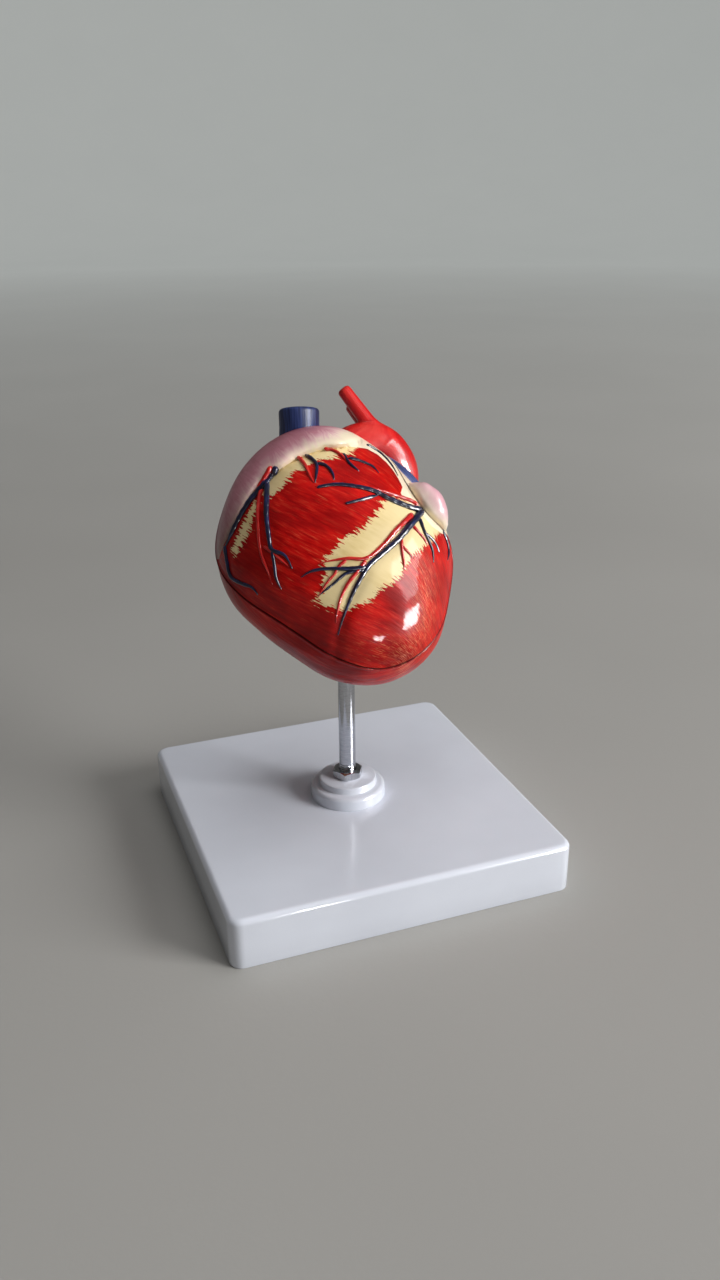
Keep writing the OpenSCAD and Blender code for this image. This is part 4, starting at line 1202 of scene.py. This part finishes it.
# %% Soft shading
def soft_shading(limit):
    tree = bpy.data.node_groups.new("soft_shading", "GeometryNodeTree")
    for way in ("INPUT", "OUTPUT"):
        tree.interface.new_socket("Geometry", in_out=way, socket_type="NodeSocketGeometry")
    g = Nodes(tree)
    angle = g.node("GeometryNodeInputMeshEdgeAngle").outputs["Unsigned Angle"]
    below = g.node("FunctionNodeCompare", {"A": angle, "B": math.radians(limit)}, operation="LESS_THAN")
    join = g.node("GeometryNodeMergeByDistance", {"Geometry": g.node("NodeGroupInput").outputs[0],
                                                  "Distance": .00001})
    faces = g.node("GeometryNodeSetShadeSmooth", {"Geometry": join.outputs[0]})
    edges = g.node("GeometryNodeSetShadeSmooth", {"Geometry": faces.outputs[0],
                                                  "Shade Smooth": below.outputs[0]}, domain="EDGE")
    g.node("NodeGroupOutput", {0: edges.outputs[0]})
    return tree


def paint_node(node, paint):
    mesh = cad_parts[node].data
    mesh.materials.clear()
    mesh.materials.append(paint)


SOFT = soft_shading(35)
for paint, nodes in ((CHAMBER_PAINT, ("septum", "papillary_muscles")), (ATRIUM_PAINT, ("atrial_septum",)),
                     (VALVE_PAINT, ("valve_plate", "tricuspid_valve", "mitral_valve", "aortic_valve",
                                    "pulmonary_valve", "tendon_strings"))):
    for node in nodes:
        paint_node(node, paint)
        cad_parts[node].modifiers.new("soft_shading", "NODES").node_group = SOFT
    print(paint.name, "on", *nodes)

# %% [markdown]
# ## The stand
# The base and the flange are glossy white plastic with faint clouds and dust, and the rod and
# nuts are polished steel. Noise in tint, roughness and height keeps both from looking flat.


# %% Stand materials
def white_plastic(name, light, roughness):
    p = Paint(name, roughness=roughness, coat=.5, coat_roughness=.06)
    cloud, grain = p.noise(14), p.noise(1400, 2.)
    dust = p.times(p.step(p.noise(260, 5., rough=.7), .68, .74), .12)
    colour = p.ramp(cloud, (.35, .65), (tuple(v - 8 for v in light), light))
    return p.finish(p.mix(dust, colour, (150, 148, 150)), (roughness - .05, cloud, .12),
                    p.plus(grain, p.times(cloud, 2.)), .00005, .6)


def bright_metal(name, light, roughness, scale):
    p = Paint(name, roughness=roughness, metallic=1.)
    fine = p.noise(scale)
    colour = p.ramp(fine, (.3, .7), (tuple(v - 26 for v in light), light))
    return p.finish(colour, (roughness, fine, .08), fine, .00002, .5)


WHITE = white_plastic("white_plastic", (226, 230, 240), .2)
IVORY = white_plastic("sleeve_plastic", (226, 218, 198), .4)
CHROME = bright_metal("chrome", (204, 206, 212), .07, (300, 300, 3000))
STEEL = bright_metal("nut_steel", (205, 206, 210), .14, (1200, 1200, 300))
paint_node("locating_pegs", STEEL)
print("stand materials:", WHITE.name, IVORY.name, CHROME.name, STEEL.name)

# %% [markdown]
# The real base is moulded hollow, with a rounded edge, a boss round the rod's hole and ribs
# below. A bevelled cube would lack all that. It is one closed skin here: its rings start at
# the outer foot, go up and over the edge, across the top, down the hole, round the boss and
# back to the foot. A square ring has a half width, a corner radius and a height.


# %% Base plate
def square_ring(half, r, z, arc_steps=8, side_steps=10):
    points = []
    for q in range(4):
        b = np.radians(90*q + np.linspace(0, 90, arc_steps + 1))
        mid = (half - r)*np.sign([np.cos(b).sum(), np.sin(b).sum()])
        corner = mid + r*np.stack([np.cos(b), np.sin(b)], -1)
        after = np.array([-mid[1], mid[0]]) + r*np.array([np.cos(b[-1]), np.sin(b[-1])])
        way = (after - corner[-1])/side_steps
        points += [*corner] + [corner[-1] + way*k for k in range(1, side_steps)]
    return np.c_[np.array(points), np.full(len(points), z)]


def arc(cx, cz, r, start, end, steps):
    """Points of an arc in a profile, in degrees."""
    b = np.radians(np.linspace(start, end, steps + 1))
    return [(cx + r*np.cos(v), cz + r*np.sin(v)) for v in b]


BASE_HALF, BASE_CORNER, HOLE = .08, .006, .00415
walls = [(.0794, .0054, 0), (.0798, .0058, .0002)]
walls += [(BASE_HALF, BASE_CORNER, z) for z in (.0008, .0107, .0205)]
edge = [(x, BASE_CORNER - (BASE_HALF - x)*.6, z) for x, z in arc(.0775, .0215, .0025, 0, 90, 8)]
hole = [(.04, .024), (.0046, .024), (HOLE, .0236), (HOLE, .0125), (.0046, .012)]
boss = [(.0165, .012), (.0169, .0122), (.017, .0126), (.0171, .0195), (.0175, .0206), (.0186, .021)]
under = [(.0755, .003, .021), (.0766, .0032, .0206), (.077, .0034, .0195), (.0772, .0034, .0008),
         (.0774, .0036, .0002), (.0778, .004, 0)]
guide = square_ring(BASE_HALF, BASE_CORNER, 0)
ways = np.arctan2(guide[:, 1], guide[:, 0])
rings = ([square_ring(*row) for row in walls + edge + [(.0765, .0045, .024)]]
         + [ring_at(ways, r, z) for r, z in hole + boss] + [square_ring(*row) for row in under])
verts, faces = stack(rings, closed=True)
print("base skin has", len(rings), "rings of", len(guide), "points")

# %% [markdown]
# Four ribs join the boss to the side walls. Each is a cube with its lower edges bevelled,
# which is enough for a plain moulded rib that is seen only from below.

# %% Ribs
bm = bmesh.new()
for x, y in ((1, 0), (-1, 0), (0, 1), (0, -1)):
    made = bmesh.ops.create_cube(bm, size=1)["verts"]
    bmesh.ops.scale(bm, vec=(.061 if x else .0024, .061 if y else .0024, .0124), verts=made)
    bmesh.ops.translate(bm, vec=(.047*x, .047*y, .0152), verts=made)
low = [e for e in bm.edges if all(v.co.z < .0095 for v in e.verts)]
bmesh.ops.bevel(bm, geom=low, offset=.0005, segments=3, profile=.5, affect="EDGES")
start = len(verts)
bm.verts.ensure_lookup_table()
verts += [np.array(v.co) for v in bm.verts]
bm.verts.index_update()
faces += [tuple(start + v.index for v in f.verts) for f in bm.faces]
bm.free()
base = new_piece("base_moulding", verts, faces, "stand", "base_plastic", [WHITE], ["base_plate"], 35)
print("base", len(base.data.polygons), "faces")

# %% [markdown]
# The flange and the washer are turned parts, so a profile of radius and height is carried
# round the rod's axis, as on a lathe. The profile's small arcs round every edge that a hand
# would touch.


# %% Flange and washer
def lathe(name, profile, body, slot, material, node, sides=96, shape=None, angle=35):
    """A closed profile turned round the rod's axis. A shape may bend each ring."""
    rings = [circle(r, z, sides) for r, z in profile]
    if shape:
        rings = [shape(ring, r, z) for ring, (r, z) in zip(rings, profile)]
    verts, faces = stack(rings, closed=True)
    piece = new_piece(name, verts, faces, body, slot, [material], [node], angle)
    print(name, len(piece.data.polygons), "faces")


flange = ([(HOLE, .0242), (.0044, .024), (.0178, .024), (.018, .0242)] + arc(.016, .0285, .002, 0, 90, 8)
          + [(.0142, .0305)] + arc(.0142, .0309, .0004, 270, 180, 3)
          + arc(.0132, .0334, .0006, 0, 90, 4) + [(.0046, .034), (HOLE, .0336)])
lathe("flange_ring", flange, "stand", "base_plastic", WHITE, "rod_flange", 128)
washer = [(HOLE, .0106), (.0043, .0104), (.0117, .0104), (.012, .0107), (.012, .0117), (.0117, .012),
          (.0043, .012), (HOLE, .0118)]
lathe("washer", washer, "stand", "bright_steel", STEEL, "under_washer")

# %% [markdown]
# A nut is also lathed. Its outer rings are then bent out to six flats, and down at the
# corners, which leaves the curved chamfer line that a turned nut has.

# %% Nuts
NUT_R, NUT_HIGH = .0065, .004


def hexagon(foot, top):
    def shape(ring, r, z):
        out = ring.copy()
        if r > .9*NUT_R:
            b = angle_of(ring[:, 0], ring[:, 1]) % 60
            flat = NUT_R/np.cos(np.radians(b - 30))
            full = r > .99*NUT_R
            out[:, :2] = unit(ring[:, :2])*(flat if full else np.full(len(b), r))[:, None]
            cut = (flat - .95*NUT_R)*math.tan(math.radians(30))
            if full:
                out[:, 2] = z + (-cut if z > (foot + top)/2 else cut)
        return out
    return shape


for name, foot, node in (("top_nut_hex", .034, "top_nut"), ("under_nut_hex", .0064, "under_nut")):
    top = foot + NUT_HIGH
    profile = [(.004, foot + .0005), (.0045, foot), (.95*NUT_R, foot), (NUT_R, foot), (NUT_R, top),
               (.95*NUT_R, top), (.0045, top), (.004, top - .0005)]
    lathe(name, profile, "stand", "bright_steel", STEEL, node, 96, hexagon(foot, top), 24)

# %% [markdown]
# The rod carries a real thread where the nuts sit: its radius falls and rises with height, and
# the phase turns once per pitch, which makes one long helix. A bump map would vanish at the
# rod's outline.

# %% Rod
ROD_R, PITCH, CUT, ROD_SIDES = .004, .00125, .0004, 48
heights = np.concatenate([np.arange(.0056, .0415, PITCH/8), [.042, .0425, .08, .1168]])
b = np.arange(ROD_SIDES)*2*np.pi/ROD_SIDES
rings = [circle(.0032, .005, ROD_SIDES), circle(.0035, .0051, ROD_SIDES)]
for z in heights:
    phase = (z/PITCH - b/(2*np.pi)) % 1
    r = ROD_R - CUT*np.abs(2*phase - 1)*np.clip((.0415 - z)/.002, 0, 1)*min(1, (z - .005)/.001)
    rings.append(ring_at(b, r, z))
rings += [circle(.0039, .1174, ROD_SIDES), circle(.0034, .118, ROD_SIDES)]
verts, faces = stack(rings, (0, 0, .005), (0, 0, .118))
new_piece("rod_with_thread", verts, faces, "stand", "bright_steel", [CHROME], ["stand_rod"], 50)
print("rod", len(faces), "faces, with", len(heights), "rings of thread")

# %% [markdown]
# A blind plastic sleeve sits on the rod, and the heart's own socket turns on the sleeve. Both
# are lathed, and their foot follows the heart's lower surface.

# %% Sleeve and socket
FOOT = .147 - .465*.118
sleeve = [(.00406, FOOT + .0003), (.0044, FOOT), (.0056, FOOT), (.00606, FOOT + .0005), (.00606, .1204),
          (.0055, .121), (.0001, .121), (.0001, .118), (.00406, .118)]
lathe("sleeve_tube", sleeve, "sleeve", "sleeve_plastic", IVORY, "swivel_sleeve")
socket = [(.00612, FOOT + .0003), (.0064, FOOT), (.0078, FOOT), (.00832, FOOT + .0005), (.00832, .1226),
          (.0077, .1232), (.0001, .1232), (.0001, .121), (.00612, .121)]
lathe("socket_tube", socket, "heart", "muscle_paint", CHAMBER_PAINT, "rod_socket")

# %% [markdown]
# ## Floor and light
# The photograph shows a plain pale floor that fades into a paler background. A round bowl
# gives it for every side without a horizon. It has no gloss, so that the low lamps don't show
# in it, and far from the heart it glows a little for the camera only.

# %% Floor
bowl = [(r, 0.) for r in np.linspace(0, 4, 12)[1:]] + arc(4, 2, 2, 270, 360, 16)[1:] + [(6, 5.)]
verts, faces = stack([circle(r, z, 96) for r, z in bowl], (0, 0, 0))
floor = raw_object("floor", verts, faces, clean=False)
floor.data.shade_smooth()
p = Paint("floor_paint", roughness=.55, specular=0)
place = p.node("ShaderNodeTexCoord").outputs["Object"]
far = p.node("ShaderNodeVectorMath", {0: place}, operation="LENGTH").outputs["Value"]
far = p.step(p.math("DIVIDE", far, 5.), .1, .75)
seen = p.node("ShaderNodeLightPath").outputs["Is Camera Ray"]
p.put(p.shader.inputs["Emission Color"], rgb(214, 220, 218))
p.put(p.shader.inputs["Emission Strength"], p.times(far, seen, .42))
p.put(p.shader.inputs["Roughness"], p.step(p.noise(9), .3, .7, .5, .62))
colour = p.ramp(p.noise(3, 2.), (.3, .7), [(165, 163, 159), (169, 167, 163)])
floor.data.materials.append(p.finish(colour, None, p.noise(300, 2.), .0002, .3))
print("floor", len(faces), "faces")

# %% [markdown]
# The photograph's light is calm and comes from the right. A large key lamp and a larger soft
# lamp above give the shade. Two low lamps give only the two highlights on the muscle, as
# windows do, and leave the rest alone because their diffuse light is switched off.


# %% Lamps
def lamp(name, azimuth, elevation, far, size, power):
    """A soft lamp. Azimuth 0 is in front of the heart's base and 90 is at its right."""
    a, e, aim = math.radians(azimuth), math.radians(elevation), Vector((0, 0, .14))
    data = bpy.data.lights.new(name, "AREA")
    data.shape, data.size, data.size_y = "RECTANGLE", size[0], size[1]
    data.energy = power
    obj = bpy.data.objects.new(name, data)
    bpy.context.scene.collection.objects.link(obj)
    obj.location = aim + far*Vector((math.sin(a)*math.cos(e), -math.cos(a)*math.cos(e), math.sin(e)))
    obj.rotation_euler = (aim - obj.location).to_track_quat("-Z", "Y").to_euler()
    obj.visible_camera = False
    return obj


lamp("window", 43, -8, .6, (.3, .13), 9.5).visible_diffuse = False
lamp("small_window", 1, -24, .3, (.024, .026), .17).visible_diffuse = False
lamp("key", 48, 20, 3, (1.3, 1.3), 92)
lamp("ceiling", 50, 74, 3.2, (3, 3), 45).visible_glossy = False
print("lamps:", len(bpy.data.lights))

# %% [markdown]
# The world is a pale sky that is darker below, so that the chrome and the gloss have
# something to mirror. An image of a room would do the same, but a gradient needs no file.

# %% World
world = bpy.data.worlds.new("world")
bpy.context.scene.world = world
world.use_nodes = True
w = Nodes(world.node_tree)
turned = w.node("ShaderNodeMapping", {"Vector": w.node("ShaderNodeTexCoord").outputs["Generated"],
                                      "Rotation": (0, math.radians(90), 0), "Location": (.5, 0, 0),
                                      "Scale": (.5, .5, .5)}).outputs[0]
grade = w.node("ShaderNodeTexGradient", {"Vector": turned}).outputs["Fac"]
back = world.node_tree.nodes["Background"]
w.put(back.inputs["Color"], w.ramp(grade, (0, 1), [(.2, .2, .2, 1), (.8, .82, .84, 1)]))
w.put(back.inputs["Strength"], .16)
bpy.context.scene.view_settings.view_transform = "Standard"
print("world strength", round(back.inputs["Strength"].default_value, 2))

# %% [markdown]
